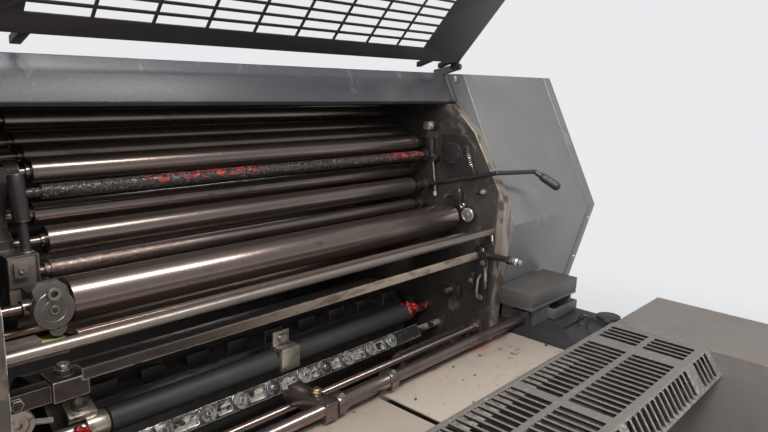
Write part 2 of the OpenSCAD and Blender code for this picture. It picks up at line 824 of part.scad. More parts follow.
// A rod between two points, with round ends
module rod(a, b, ra, rb) {
  hull() {
    translate(a) sphere(r = ra, $fn = 16);
    translate(b) sphere(r = rb, $fn = 16);
  }
}

// Guard in its own plane: x along the press, y from the hinge edge to the free edge,
// and the flanges turned to the roller side
module guard_panel() {
  window_x0 = guard_window_x1 - guard_cols * guard_pitch_x;
  corner = guard_x1 - guard_sheet;
  width = guard_x1 - guard_x0;
  difference() {
    union() {
      difference() {
        translate([guard_x0, 0, -guard_t]) cube([width, guard_len, guard_t]);
        translate([guard_x0 + guard_sheet, guard_sheet, -guard_t - 1])
          cube([width - 2 * guard_sheet, guard_len - 2 * guard_sheet, guard_t - guard_sheet + 1]);
      }
      translate([guard_x0, 0, -guard_t]) cube([width, 12, guard_sheet]);
    }
    for (i = [0 : guard_cols - 1], j = [0 : guard_rows - 1])
      translate([window_x0 + i * guard_pitch_x, guard_lip_s + j * guard_pitch_s, -guard_t - 1])
        cube([guard_pitch_x - guard_bar, guard_pitch_s - guard_bar, guard_t + 2]);
    translate([corner - 37.5, 170, -guard_t - 1]) cube([60, guard_len, guard_t + 2]);
  }
}

module guard_ear(x0) {
  x_profile([
    hinge_yz + [-3, -6], hinge_yz + [6, -5], hinge_yz + [6, 5], guard_edge_yz + [2, 10],
    guard_edge_yz + [-14, 18]
  ], x0, x0 + ear_t);
}

// Arm that stays the raised guard just above the beam
module stay_arm(x0) {
  x_profile([
    guard_edge_yz + [2, 1], guard_edge_yz + [36, -11], guard_edge_yz + [36, -2],
    guard_edge_yz + [-8, 14]
  ], x0, x0 + stay_w);
}

module roller_guard() {
  color([0.1, 0.1, 0.1]) {
    translate([0, guard_edge_yz[0], guard_edge_yz[1]]) rotate([90 + guard_lean, 0, 0])
      guard_panel();
    guard_ear(guard_x1 - ear_t - ear_inset);
    guard_ear(guard_x0 + ear_inset);
    x_bar(hinge_yz, hinge_r, guard_x1 - 3, right_in + side_gap + beam_slot - 1);
    x_bar(hinge_yz, hinge_r, left_in - side_gap - beam_slot + 1, guard_x0 + 3);
    for (i = [0, stay_pitch]) {
      stay_arm(guard_x0 + stay_inset + i);
      stay_arm(guard_x1 - stay_inset - stay_w - i);
    }
  }
}

// Side cover of the delivery, with a raised door on its outer face
module delivery_cover() {
  face = delivery_x - 6;
  x_profile([
    [front_y, plinth_h], [front_y, delivery_z - 40], [front_y + 40, delivery_z],
    [deck_front_y, delivery_z], [deck_front_y, plinth_h]
  ], gap_half, face);
  block([face, front_y + 60, plinth_h + 50], [delivery_x, deck_front_y - 50, delivery_z - 70]);
}

module delivery_cover_right() {
  color([0.42, 0.4, 0.38]) delivery_cover();
}

module delivery_cover_left() {
  color([0.42, 0.4, 0.38]) left_side() delivery_cover();
}

module delivery_end_panel() {
  color([0.3, 0.31, 0.33])
    block([-gap_half + seat, front_y, plinth_h], [gap_half - seat, front_y + 30, plinth_h + 190]);
}

// Pile board on two bearers between the delivery covers
module pile_board() {
  color([0.5, 0.4, 0.3]) {
    block([-420, front_y + 80, 400], [420, front_y + 680, 430]);
    for (y = [front_y + 160, front_y + 560])
      block([-gap_half + seat, y, 370], [gap_half - seat, y + 40, 400]);
  }
}

// Side of the feeder, stepped down to its end
module feeder_side() {
  y0 = cover_back_y + seat;
  x_profile([
    [y0, plinth_h], [y0, deck_z + 175], [1000, deck_z + 175], [rear_y - 20, deck_z - 75],
    [rear_y, deck_z - 105], [rear_y, plinth_h]
  ], gap_half - 80, gap_half + 40);
  x_bar([y0 + 260, deck_z - 60], 90, gap_half + 30, gap_half + 46);
}

module feeder_side_right() {
  color([0.41, 0.42, 0.44]) feeder_side();
}

module feeder_side_left() {
  color([0.41, 0.42, 0.44]) left_side() feeder_side();
}

// Sloping feed board between the feeder's sides, with its tape rollers
module feed_board() {
  half = gap_half - 80 - seat;
  z = deck_z + 25;
  color([0.6, 0.58, 0.55]) {
    x_profile([[cover_back_y + 5, z], [cover_back_y + 5, z + 15], [820, z + 85], [820, z + 70]],
      -half, half);
    x_bar([cover_back_y + 20, z], 14, -half, half);
    x_bar([805, z + 68], 14, -half, half);
  }
}

module feeder_table() {
  half = gap_half - 80 - seat;
  color([0.5, 0.4, 0.3]) block([-half, 840, 380], [half, 1360, 410]);
}

// Suction head over the feed pile: a bar, its housing and a row of suckers
module suction_head() {
  half = gap_half - 80 - seat;
  z = deck_z + 145;
  color([0.25, 0.25, 0.26]) {
    x_bar([900, z], 16, -half, half);
    block([-200, 870, z - 30], [200, 930, z + 30]);
    for (x = [-160 : 80 : 160]) translate([x, 900, z - 70]) {
      cylinder(r = 6, h = 42);
      cylinder(r1 = 13, r2 = 7, h = 12);
    }
  }
}

base_plinth();
base_rail_left();
base_rail_right();
side_frame_left();
side_frame_right();
side_cover_left();
side_cover_right();
lower_cover_left();
lower_cover_right();
rear_panel();
top_beam();
hinge_brackets();
ink_duct();
transfer_roller();
rider_roller();
upper_distributor();
lower_distributor();
inked_rod();
idler_roller();
vibrator_roller();
thin_rider();
form_roller();
bearings_left();
bearings_right();
drip_tray();
cross_rod();
lower_lip();
transfer_drum();
clamp_bar();
blanket_cylinder();
gripper_bar();
guide_shaft();
delivery_shaft();
sheet_guide_plates();
delivery_grille();
deck_left();
deck_right();
junction_box();
control_lever();
roller_guard();
delivery_cover_left();
delivery_cover_right();
delivery_end_panel();
pile_board();
feeder_side_left();
feeder_side_right();
feed_board();
feeder_table();
suction_head();
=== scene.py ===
import json
import math

import bmesh
import bpy
from mathutils import Matrix, Vector, noise as field


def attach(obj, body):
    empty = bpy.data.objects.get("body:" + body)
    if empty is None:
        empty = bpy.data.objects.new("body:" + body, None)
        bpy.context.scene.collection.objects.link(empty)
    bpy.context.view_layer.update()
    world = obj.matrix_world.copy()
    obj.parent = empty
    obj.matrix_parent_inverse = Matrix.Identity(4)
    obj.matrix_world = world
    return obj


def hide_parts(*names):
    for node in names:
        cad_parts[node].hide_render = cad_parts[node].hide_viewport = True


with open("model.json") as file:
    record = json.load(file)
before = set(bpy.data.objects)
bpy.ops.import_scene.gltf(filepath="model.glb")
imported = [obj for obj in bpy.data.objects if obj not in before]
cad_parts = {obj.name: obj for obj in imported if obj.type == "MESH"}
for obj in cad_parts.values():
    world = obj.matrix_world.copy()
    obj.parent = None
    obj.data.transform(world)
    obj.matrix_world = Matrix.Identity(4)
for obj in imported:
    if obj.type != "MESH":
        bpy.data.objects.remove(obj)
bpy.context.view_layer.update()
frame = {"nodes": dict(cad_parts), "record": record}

# Camera at the photograph's viewing angle, in metres and degrees
CAMERA_AT = (-0.6704, -0.950, 1.450)
CAMERA_YAW = 47.67
CAMERA_PITCH = -11.925
CAMERA_ROLL = 1.977
FOCAL_PIXELS = 650.84
FRAME_WIDTH = 768
SENSOR = 36.0

# Places of the press that the visual pieces sit on, in millimetres
FRAME_IN = 405.0
COVER_OUT = 787.0
STRIP_X = 770.0
DECK_Z = 975.0
DELIVERY_OUT = 789.0
GRILLE_RIDGE = -647.0
CLAMP_BAR = (-105.0, 966.0)
INKED_ROD = (-94.28, 1296.83)
INKED_R = 9.0
ROLLER_HALF = 370.0
LEFT_IN = -480.0
GRIPPER_AT = (-148.0, 940.0)
GRIPPER_OUT = (0.0, -0.819, 0.574)
GRIPPER_LEVEL = 0.658
PAD_FACE = 4.0
PAD_R = 13.7
PAD_X = (-174, -114, 18, 122, 184, 241)
PAD_BLOCK_X = -248.0
PAD_BLOCK_THICK = 5.5
LEFT_FACE = LEFT_IN + 0.5
HOLDER_AT = (-405.0, -202.0, 1182.0)
HOLDER_FACE = 10.0
LOBE_AT = (-402.0, -203.0, 1160.0)
RIGHT_FACE = FRAME_IN - 0.3
ROD_X = 399.0
GAUGE_AT = (392.0, -209.0, 1187.0)

# Crusted ink rod, in millimetres: its ends' radius, the crust's height and the rings along it
INKED_END_R = 6.0
CRUST = 1.2
CRUST_RINGS = 300

# Screws of the covers, in millimetres; panels lie this far in from the outermost face
COVER_SCREW_R = 5
STRIP_SCREW_R = 2.6
PANEL_INSET = 6

# Directions
LEFTWARD = (-1, 0, 0)
RIGHTWARD = (1, 0, 0)
FORWARD = (0, -1, 0)
UPWARD = (0, 0, 1)

# Studio: strengths of the sky to the camera, to reflections and to the rest; the lamps in watts
CAMERA_SKY = 0.95
GLOSSY_SKY = 0.5
DIFFUSE_SKY = 0.95
SKY_COLOUR = (0.86, 0.87, 0.89, 1)
LAMP_POWER = 112
FLOOR_R = 40.0
FLOOR_GREY = (0.42, 0.42, 0.42, 1)
GLOW_SPAN = (2.0, 4.6)

# Edges and units
MM = 0.001
EDGE_SEGMENTS = 2
SMOOTH_ANGLE = math.radians(32)
BEVEL_ANGLE = math.radians(35)

SLOT_OF = {s["node"]: s["material_slot"] for s in frame["record"]["subparts"]}
BODIES = frame["record"]["behaviour"]["bodies"]
BODY_OF = {node: body for body, nodes in BODIES.items() for node in nodes}


# Helpers for node trees

def new_group(name, inputs, outputs):
    """A node group; inputs are (kind, label, value), outputs are labels of numbers."""
    group = bpy.data.node_groups.new(name, "ShaderNodeTree")
    for kind, label, value in inputs:
        socket = group.interface.new_socket(label, in_out="INPUT", socket_type="NodeSocket" + kind)
        socket.default_value = value
    for label in outputs:
        group.interface.new_socket(label, in_out="OUTPUT", socket_type="NodeSocketFloat")
    start = group.nodes.new("NodeGroupInput")
    end = group.nodes.new("NodeGroupOutput")
    return group, start.outputs, end.inputs


def add(tree, kind, **settings):
    node = tree.nodes.new(kind)
    for key, value in settings.items():
        setattr(node, key, value)
    return node


def feed(tree, socket, value):
    if hasattr(value, "is_output"):
        tree.links.new(value, socket)
    elif value is not None:
        socket.default_value = value


def math_node(tree, operation, a, b=None, clamp=False):
    node = add(tree, "ShaderNodeMath", operation=operation, use_clamp=clamp)
    feed(tree, node.inputs[0], a)
    feed(tree, node.inputs[1], b)
    return node.outputs[0]


def remap(tree, value, low, high, out_low=0.0, out_high=1.0):
    node = add(tree, "ShaderNodeMapRange", interpolation_type="SMOOTHSTEP")
    for socket, given in zip(node.inputs, (value, low, high, out_low, out_high)):
        feed(tree, socket, given)
    return node.outputs[0]


def mix(tree, factor, first, second, blend="MIX"):
    node = add(tree, "ShaderNodeMix", data_type="RGBA", blend_type=blend)
    feed(tree, node.inputs[0], factor)
    for socket, value in ((node.inputs[6], first), (node.inputs[7], second)):
        feed(tree, socket, (*value, 1.0) if isinstance(value, tuple) else value)
    return node.outputs[2]


def times(tree, a, b):
    return math_node(tree, "MULTIPLY", a, b)


def either(tree, a, b):
    return math_node(tree, "MAXIMUM", a, b)


def tint(tree, colour, mask, amount, stain):
    """The colour with a stain laid on by part of a mask."""
    return mix(tree, times(tree, mask, amount), colour, stain)


def vector_node(tree, operation, a, b):
    node = add(tree, "ShaderNodeVectorMath", operation=operation)
    feed(tree, node.inputs[0], a)
    feed(tree, node.inputs[1], b)
    return node.outputs["Value" if operation == "DOT_PRODUCT" else "Vector"]


def here(tree):
    """The place on the piece, in the press's frame."""
    return add(tree, "ShaderNodeTexCoord").outputs["Object"]


def noise(tree, where, scale, detail=3.0, roughness=0.55, distortion=0.0):
    node = add(tree, "ShaderNodeTexNoise")
    tree.links.new(where, node.inputs["Vector"])
    feed(tree, node.inputs["Scale"], scale)
    node.inputs["Detail"].default_value = detail
    node.inputs["Roughness"].default_value = roughness
    node.inputs["Distortion"].default_value = distortion
    return node.outputs["Fac"]


# Node groups that the finishes share

def edge_wear_group():
    group, given, out = new_group(
        "edge_wear",
        [("Float", "Width", 0.002), ("Float", "Amount", 0.5),
         ("Float", "Scale", 60.0)],
        ["Mask"],
    )
    links = group.links
    bevel = add(group, "ShaderNodeBevel", samples=6)
    links.new(given["Width"], bevel.inputs["Radius"])
    geometry = add(group, "ShaderNodeNewGeometry")
    dot = vector_node(group, "DOT_PRODUCT", bevel.outputs[0], geometry.outputs["True Normal"])
    turned = math_node(group, "SUBTRACT", 1.0, dot)
    edge = remap(group, turned, 0.01, 0.16)
    patches = noise(group, here(group), given["Scale"], 4.0, 0.65)
    level = math_node(group, "SUBTRACT", 0.78, times(group, given["Amount"], 0.5))
    chance = remap(group, patches, level, math_node(group, "ADD", level, 0.12))
    links.new(math_node(group, "MULTIPLY", edge, chance, True), out["Mask"])
    return group


def patches_group():
    group, given, out = new_group(
        "patches",
        [("Vector", "Stretch", (1, 1, 1)), ("Float", "Scale", 20.0),
         ("Float", "Cover", 0.4), ("Float", "Softness", 0.12),
         ("Float", "Offset", 0.0)],
        ["Mask"],
    )
    scaled = vector_node(group, "MULTIPLY", here(group), given["Stretch"])
    moved = vector_node(group, "ADD", scaled, given["Offset"])
    value = noise(group, moved, given["Scale"], 5.0, 0.6, 0.4)
    level = math_node(group, "SUBTRACT", 0.75, times(group, given["Cover"], 0.5))
    top = math_node(group, "ADD", level, given["Softness"])
    group.links.new(remap(group, value, level, top), out["Mask"])
    return group


def hammer_group():
    group, given, out = new_group(
        "hammer_finish",
        [("Float", "Scale", 260.0)],
        ["Height", "Fleck"],
    )
    where = here(group)
    cells = add(group, "ShaderNodeTexVoronoi", feature="SMOOTH_F1")
    group.links.new(where, cells.inputs["Vector"])
    group.links.new(given["Scale"], cells.inputs["Scale"])
    cells.inputs["Smoothness"].default_value = 0.6
    fine = noise(group, where, times(group, given["Scale"], 2.5))
    raised = math_node(group, "SUBTRACT", 1.0, cells.outputs["Distance"])
    height = math_node(group, "ADD", raised, times(group, fine, 0.3))
    group.links.new(height, out["Height"])
    group.links.new(remap(group, cells.outputs["Distance"], 0.1, 0.8), out["Fleck"])
    return group


def lathe_marks_group():
    group, given, out = new_group(
        "lathe_marks",
        [("Float", "Scale", 300.0)],
        ["Height", "Band"],
    )
    along = vector_node(group, "MULTIPLY", here(group), (1.0, 0.02, 0.02))
    fine = noise(group, along, given["Scale"], 4.0, 0.7)
    wide = noise(group, along, times(group, given["Scale"], 0.04), 2.0)
    group.links.new(fine, out["Height"])
    group.links.new(wide, out["Band"])
    return group


def beyond_group():
    """A mask of the places that lie past a plane."""
    group, given, out = new_group(
        "beyond",
        [("Vector", "Direction", RIGHTWARD), ("Float", "Level", 0.0),
         ("Float", "Softness", 0.01)],
        ["Mask"],
    )
    dot = vector_node(group, "DOT_PRODUCT", here(group), given["Direction"])
    top = math_node(group, "ADD", given["Level"], given["Softness"])
    group.links.new(remap(group, dot, given["Level"], top), out["Mask"])
    return group


def facing_group():
    """A mask of the faces that look one way."""
    group, given, out = new_group(
        "facing",
        [("Vector", "Direction", FORWARD), ("Float", "Level", 0.3)],
        ["Mask"],
    )
    geometry = add(group, "ShaderNodeNewGeometry")
    dot = vector_node(group, "DOT_PRODUCT", geometry.outputs["True Normal"], given["Direction"])
    top = math_node(group, "ADD", given["Level"], 0.1)
    group.links.new(remap(group, dot, given["Level"], top), out["Mask"])
    return group


GROUPS = {}


def build_groups():
    GROUPS["edge_wear"] = edge_wear_group()
    GROUPS["patches"] = patches_group()
    GROUPS["hammer_finish"] = hammer_group()
    GROUPS["lathe_marks"] = lathe_marks_group()
    GROUPS["beyond"] = beyond_group()
    GROUPS["facing"] = facing_group()


def use_group(tree, name, **values):
    node = add(tree, "ShaderNodeGroup", node_tree=GROUPS[name])
    for label, value in values.items():
        node.inputs[label].default_value = value
    return node.outputs


def patches(tree, scale, cover, softness, offset=0.0, stretch=(1.0, 1, 1)):
    return use_group(
        tree, "patches", Scale=scale, Cover=cover, Softness=softness, Offset=offset,
        Stretch=stretch)["Mask"]


def beyond(tree, direction, level, softness=0.01):
    return use_group(tree, "beyond", Direction=direction, Level=level, Softness=softness)["Mask"]


def worn_edges(tree, width, amount, scale):
    return use_group(tree, "edge_wear", Width=width, Amount=amount, Scale=scale)["Mask"]


def edged(tree, colour, wear, bare):
    """The colour with its edges worn bare, and the mask of those edges."""
    edge = worn_edges(tree, *wear)
    return mix(tree, edge, colour, bare), edge


# Finishes

def new_material(name):
    material = bpy.data.materials.new(name)
    material.use_nodes = True
    tree = material.node_tree
    shader = tree.nodes["Principled BSDF"]
    return material, tree, shader


def coat(tree, shader, colour, roughness, metallic=None):
    """Give the shader its colour; roughness and metal are a value, or (mask, low, high)."""
    tree.links.new(colour, shader.inputs["Base Color"])
    for label, span in (("Roughness", roughness), ("Metallic", metallic)):
        if isinstance(span, tuple):
            mask, low, high = span
            tree.links.new(remap(tree, mask, 0, 1, low, high), shader.inputs[label])
        elif span is not None:
            shader.inputs[label].default_value = span


def bump(tree, shader, height, strength, distance):
    node = add(tree, "ShaderNodeBump")
    node.inputs["Strength"].default_value = strength
    node.inputs["Distance"].default_value = distance
    tree.links.new(height, node.inputs["Height"])
    tree.links.new(node.outputs[0], shader.inputs["Normal"])


def hammer_paint(tree, shader, light, dark, roughness, wear):
    finish = use_group(tree, "hammer_finish", Scale=520.0)
    colour = mix(tree, finish["Fleck"], light, dark)
    dust = patches(tree, 7.0, 0.5, 0.4)
    colour = tint(tree, colour, dust, 0.12, (0.42, 0.4, 0.38))
    rubs = patches(tree, 30.0, 0.3, 0.1, 4.0, (1.0, 1.0, 0.3))
    colour = tint(tree, colour, rubs, 0.1, (0.5, 0.49, 0.48))
    colour, _ = edged(tree, colour, (0.0018, wear, 45.0), (0.45, 0.44, 0.43))
    coat(tree, shader, colour, (dust, roughness, roughness + 0.12), 0.25)
    bump(tree, shader, finish["Height"], 0.18, 0.0005)


def satin_black(tree, shader, base, roughness, wear):
    dust = patches(tree, 11.0, 0.45, 0.4)
    colour = mix(tree, times(tree, dust, 0.1), base, (0.3, 0.26, 0.23))
    colour, _ = edged(tree, colour, (0.0012, wear, 70.0), (0.3, 0.28, 0.26))
    coat(tree, shader, colour, (dust, roughness, roughness + 0.2))
    bump(tree, shader, patches(tree, 900.0, 0.6, 0.3), 0.12, 0.0003)


def oily_iron(tree, shader, base, film, fleck, roughness):
    """Black oily castings with brown film, and flecks where the iron shows."""
    stains = patches(tree, 34.0, 0.5, 0.3)
    colour = mix(tree, stains, base, film)
    small = patches(tree, 170.0, 0.2, 0.06, 3.0)
    colour = mix(tree, times(tree, small, 0.45), colour, fleck)
    colour, edge = edged(tree, colour, (0.0016, 0.75, 60.0), (0.36, 0.31, 0.26))
    coat(tree, shader, colour, (stains, roughness, roughness + 0.22), (edge, 0.35, 0.9))
    bump(tree, shader, small, 0.35, 0.0008)


def frame_casting(tree, shader):
    """Cast frame: bare and stained on its edges; its inner face is dark with oil and with painted
    shade.
    """
    film = patches(tree, 24.0, 0.5, 0.3)
    specks = patches(tree, 150.0, 0.22, 0.06, 3.0)
    # Inner face near black: partly oil, partly painted shade; the lighter rubbed patches on it are
    # partly worn iron, partly painted highlight
    inner = mix(tree, film, (0.03, 0.025, 0.021), (0.01, 0.008, 0.008))
    rub = patches(tree, 20.0, 0.34, 0.1, 12.0)
    inner = tint(tree, inner, rub, 0.7, (0.12, 0.1, 0.082))
    inner = tint(tree, inner, specks, 0.35, (0.16, 0.11, 0.075))
    bare = mix(tree, film, (0.22, 0.185, 0.15), (0.12, 0.094, 0.076))
    grime = patches(tree, 42.0, 0.45, 0.1, 9.0, (1.0, 1.0, 0.5))
    bare = tint(tree, bare, grime, 0.75, (0.035, 0.026, 0.022))
    bare = tint(tree, bare, specks, 0.7, (0.06, 0.04, 0.03))
    front = use_group(tree, "facing", Direction=(0.0, -1.0, 0.35), Level=0.35)["Mask"]
    top = beyond(tree, (0.0, -0.349, 0.937), 1.3405, 0.02)
    rim = beyond(tree, FORWARD, 0.268, 0.006)
    worn_top = times(tree, top, patches(tree, 40.0, 0.75, 0.2, 6.0))
    shown = either(tree, front, either(tree, worn_top, rim))
    oily = times(tree, beyond(tree, LEFTWARD, 0.3, 0.05), 0.85)
    shown = times(tree, shown, math_node(tree, "SUBTRACT", 1.0, oily))
    colour = mix(tree, shown, inner, bare)
    colour, _ = edged(tree, colour, (0.0016, 0.8, 50.0), (0.5, 0.45, 0.4))
    coat(tree, shader, colour, (film, 0.3, 0.5), (shown, 0.3, 0.55))
    bump(tree, shader, specks, 0.4, 0.0008)


def turned_steel(tree, shader, base, film, roughness, film_cover):
    marks = use_group(tree, "lathe_marks", Scale=420.0)
    colour = mix(tree, marks["Band"], base, tuple(c * 1.35 for c in base))
    smear = patches(tree, 16.0, film_cover, 0.3, 0.0, (0.35, 1, 1))
    colour = mix(tree, smear, colour, film)
    spots = patches(tree, 190.0, 0.22, 0.05, 2.0, (0.4, 1, 1))
    colour = tint(tree, colour, spots, 0.7, (0.03, 0.025, 0.022))
    coat(tree, shader, colour, (smear, roughness, roughness + 0.16), 0.92)
    bump(tree, shader, marks["Height"], 0.05, 0.0002)


def copper_roller(tree, shader):
    """Dark rosy roller whose left half carries a fine crust of dried ink."""
    marks = use_group(tree, "lathe_marks", Scale=420.0)
    steel = mix(tree, marks["Band"], (0.15, 0.118, 0.106), (0.19, 0.155, 0.14))
    left = beyond(tree, LEFTWARD, 0.02, 0.3)
    crust = times(tree, left, patches(tree, 420.0, 0.62, 0.2, 1.0, (0.6, 1, 1)))
    dried = mix(tree, patches(tree, 760.0, 0.5, 0.1), (0.23, 0.145, 0.12), (0.08, 0.052, 0.045))
    colour = mix(tree, crust, steel, dried)
    coat(tree, shader, colour, (crust, 0.28, 0.5), (crust, 0.92, 0.6))
    bump(tree, shader, crust, 0.3, 0.0005)


def caked_ink(tree, shader):
    """Black rod under a fine crust, with red ink on its top in two stretches."""
    lumps = patches(tree, 420.0, 0.6, 0.4)
    brown = patches(tree, 240.0, 0.42, 0.1, 5.1)
    colour = mix(tree, brown, (0.014, 0.012, 0.012), (0.075, 0.055, 0.048))
    inner = times(tree, beyond(tree, RIGHTWARD, -0.25, 0.05), beyond(tree, LEFTWARD, 0.02, 0.05))
    stretch = either(tree, inner, beyond(tree, RIGHTWARD, 0.24, 0.06))
    top = beyond(tree, (0.0, -0.2, 1.0), 1.316, 0.003)
    flecks = patches(tree, 170.0, 0.46, 0.05, 1.7, (0.5, 1, 1))
    bright = times(tree, stretch, times(tree, top, flecks))
    stray = patches(tree, 200.0, 0.2, 0.05, 6.2)
    red = either(tree, bright, stray)
    colour = mix(tree, red, colour, (0.3, 0.018, 0.014))
    pale = patches(tree, 300.0, 0.22, 0.05, 8.3)
    colour = mix(tree, pale, colour, (0.17, 0.145, 0.125))
    green = patches(tree, 230.0, 0.22, 0.05, 11.9)
    colour = mix(tree, green, colour, (0.05, 0.13, 0.11))
    coat(tree, shader, colour, (lumps, 0.18, 0.42))
    bump(tree, shader, lumps, 0.8, 0.0010)


def red_ink(tree, shader):
    dark = patches(tree, 260.0, 0.45, 0.2)
    colour = mix(tree, dark, (0.3, 0.013, 0.012), (0.09, 0.007, 0.007))
    coat(tree, shader, colour, (dark, 0.22, 0.4))
    bump(tree, shader, dark, 0.4, 0.0008)


def gripper_plate(tree, shader):
    """Bar black with dried ink, its edges bright; the pockets' plates are cream and blotched."""
    ink = patches(tree, 75.0, 0.5, 0.05, 1.3, (0.6, 1, 1))
    fine = patches(tree, 420.0, 0.5, 0.1, 5.0)
    plate = mix(tree, fine, (0.27, 0.245, 0.21), (0.14, 0.12, 0.105))
    plate = mix(tree, ink, plate, (0.016, 0.013, 0.013))
    rubbed = patches(tree, 150.0, 0.3, 0.06, 7.0)
    black = mix(tree, rubbed, (0.014, 0.012, 0.012), (0.15, 0.135, 0.12))
    raised = beyond(tree, GRIPPER_OUT, GRIPPER_LEVEL, 0.001)
    colour = mix(tree, raised, plate, black)
    colour, edge = edged(tree, colour, (0.0016, 0.95, 60.0), (0.5, 0.47, 0.43))
    coat(tree, shader, colour, (ink, 0.42, 0.25), (edge, 0.25, 0.8))
    bump(tree, shader, ink, 0.35, 0.0006)


def worn_pad(tree, shader):
    ink = patches(tree, 110.0, 0.5, 0.08, 3.1)
    left = times(tree, beyond(tree, LEFTWARD, 0.03, 0.25), 0.75)
    ink = either(tree, ink, left)
    colour = mix(tree, ink, (0.22, 0.218, 0.208), (0.03, 0.028, 0.027))
    colour, _ = edged(tree, colour, (0.001, 0.8, 90.0), (0.5, 0.49, 0.47))
    coat(tree, shader, colour, (ink, 0.36, 0.26), (ink, 0.75, 0.1))
    bump(tree, shader, ink, 0.25, 0.0005)


def stripe(tree, direction, level, width):
    inside = beyond(tree, direction, level, 0.0002)
    past = beyond(tree, direction, level + width, 0.0002)
    return math_node(tree, "SUBTRACT", inside, past, True)


def tray_sheet(tree, shader):
    """Brown polished sheet with two dark grooves behind its rolled edge."""
    film = patches(tree, 12.0, 0.5, 0.5, 0.0, (0.25, 1, 1))
    colour = mix(tree, film, (0.2, 0.15, 0.12), (0.1, 0.072, 0.058))
    fine = patches(tree, 300.0, 0.3, 0.1, 2.0, (0.1, 1, 1))
    colour = tint(tree, colour, fine, 0.4, (0.3, 0.25, 0.21))
    grooves = either(tree, stripe(tree, FORWARD, 0.196, 0.0012),
                     stripe(tree, FORWARD, 0.2035, 0.0012))
    colour = mix(tree, grooves, colour, (0.012, 0.01, 0.01))
    coat(tree, shader, colour, (film, 0.22, 0.36), (grooves, 0.85, 0.0))
    bump(tree, shader, fine, 0.05, 0.0002)


def rubber_bar(tree, shader):
    """Matte rubber over the bar's middle; the sleeve, the collar and the clamp are bare steel."""
    where = here(tree)
    parts = add(tree, "ShaderNodeSeparateXYZ")
    tree.links.new(where, parts.inputs[0])
    across = math_node(tree, "SUBTRACT", parts.outputs["Y"], CLAMP_BAR[0] * MM)
    above = math_node(tree, "SUBTRACT", parts.outputs["Z"], CLAMP_BAR[1] * MM)
    square = math_node(tree, "ADD", times(tree, across, across), times(tree, above, above))
    outside = remap(tree, math_node(tree, "SQRT", square), 0.0194, 0.0197)
    left = beyond(tree, LEFTWARD, 0.3085, 0.0005)
    right = beyond(tree, RIGHTWARD, 0.3265, 0.0005)
    bare = either(tree, outside, either(tree, left, right))
    film = patches(tree, 60.0, 0.5, 0.2)
    steel = mix(tree, film, (0.5, 0.46, 0.39), (0.2, 0.17, 0.14))
    red = times(tree, right, patches(tree, 70.0, 0.7, 0.1, 2.0))
    steel = mix(tree, red, steel, (0.4, 0.015, 0.01))
    rubber = mix(tree, patches(tree, 12.0, 0.5, 0.4), (0.03, 0.029, 0.029), (0.05, 0.047, 0.045))
    colour = mix(tree, bare, rubber, steel)
    coat(tree, shader, colour, (bare, 0.55, 0.32), (bare, 0.0, 0.85))
    bump(tree, shader, patches(tree, 800.0, 0.6, 0.4), 0.1, 0.0003)


def worn_paint(tree, shader, base, dark, roughness, wear, spots):
    shade = patches(tree, 9.0, 0.55, 0.5)
    colour = mix(tree, shade, base, dark)
    ink = patches(tree, 55.0, spots, 0.03, 2.3)
    colour = mix(tree, ink, colour, (0.05, 0.04, 0.035))
    colour, edge = edged(tree, colour, (0.0018, wear, 60.0), (0.5, 0.48, 0.45))
    coat(tree, shader, colour, (shade, roughness, roughness + 0.15))
    tree.links.new(edge, shader.inputs["Metallic"])
    bump(tree, shader, patches(tree, 700.0, 0.6, 0.4), 0.12, 0.0003)


def stained_plate(tree, shader):
    """Worn beige plate with rubbed brown shade, a few ink spots and faint red and green stains."""
    shade = patches(tree, 8.0, 0.5, 0.5)
    colour = mix(tree, shade, (0.36, 0.31, 0.26), (0.25, 0.21, 0.17))
    rubs = patches(tree, 26.0, 0.42, 0.3, 7.0, (0.4, 1, 1))
    colour = tint(tree, colour, rubs, 0.5, (0.2, 0.155, 0.125))
    rear = beyond(tree, (0.0, 1.0, 0.0), -0.372, 0.05)
    red = times(tree, rear, patches(tree, 30.0, 0.36, 0.08, 4.4, (0.6, 1, 1)))
    colour = tint(tree, colour, red, 0.6, (0.42, 0.1, 0.06))
    green = times(tree, rear, patches(tree, 24.0, 0.32, 0.1, 9.7))
    colour = tint(tree, colour, green, 0.45, (0.12, 0.17, 0.13))
    spots = patches(tree, 62.0, 0.21, 0.02, 2.3)
    colour = mix(tree, spots, colour, (0.04, 0.032, 0.03))
    colour, _ = edged(tree, colour, (0.0018, 0.5, 60.0), (0.5, 0.47, 0.43))
    coat(tree, shader, colour, (rubs, 0.36, 0.5), 0.35)
    bump(tree, shader, patches(tree, 500.0, 0.6, 0.4), 0.1, 0.0003)


def grille_paint(tree, shader):
    """Dark paint, rubbed to bright steel on the edges and most of all along the front ridge; the
    slots' side walls carry painted shade.
    """
    shade = patches(tree, 10.0, 0.5, 0.5)
    colour = mix(tree, shade, (0.115, 0.103, 0.092), (0.078, 0.07, 0.062))
    edge = worn_edges(tree, 0.0014, 0.6, 50.0)
    ridge = beyond(tree, FORWARD, -(GRILLE_RIDGE + 6.0) * MM, 0.004)
    rub = times(tree, ridge, patches(tree, 90.0, 0.42, 0.12, 3.0))
    spot = patches(tree, 90.0, 0.24, 0.05, 8.0)
    bare = either(tree, either(tree, edge, rub), times(tree, spot, 0.5))
    colour = mix(tree, bare, colour, (0.5, 0.46, 0.42))
    # Painted shade: the side walls of the slots, facing left or right, are made near black
    right = use_group(tree, "facing", Direction=RIGHTWARD, Level=0.5)["Mask"]
    left = use_group(tree, "facing", Direction=LEFTWARD, Level=0.5)["Mask"]
    shaded_walls = either(tree, left, right)
    colour = mix(tree, shaded_walls, colour, (0.01, 0.009, 0.009))
    coat(tree, shader, colour, (bare, 0.42, 0.3), (bare, 0.1, 0.85))
    bump(tree, shader, patches(tree, 500.0, 0.6, 0.4), 0.12, 0.0003)


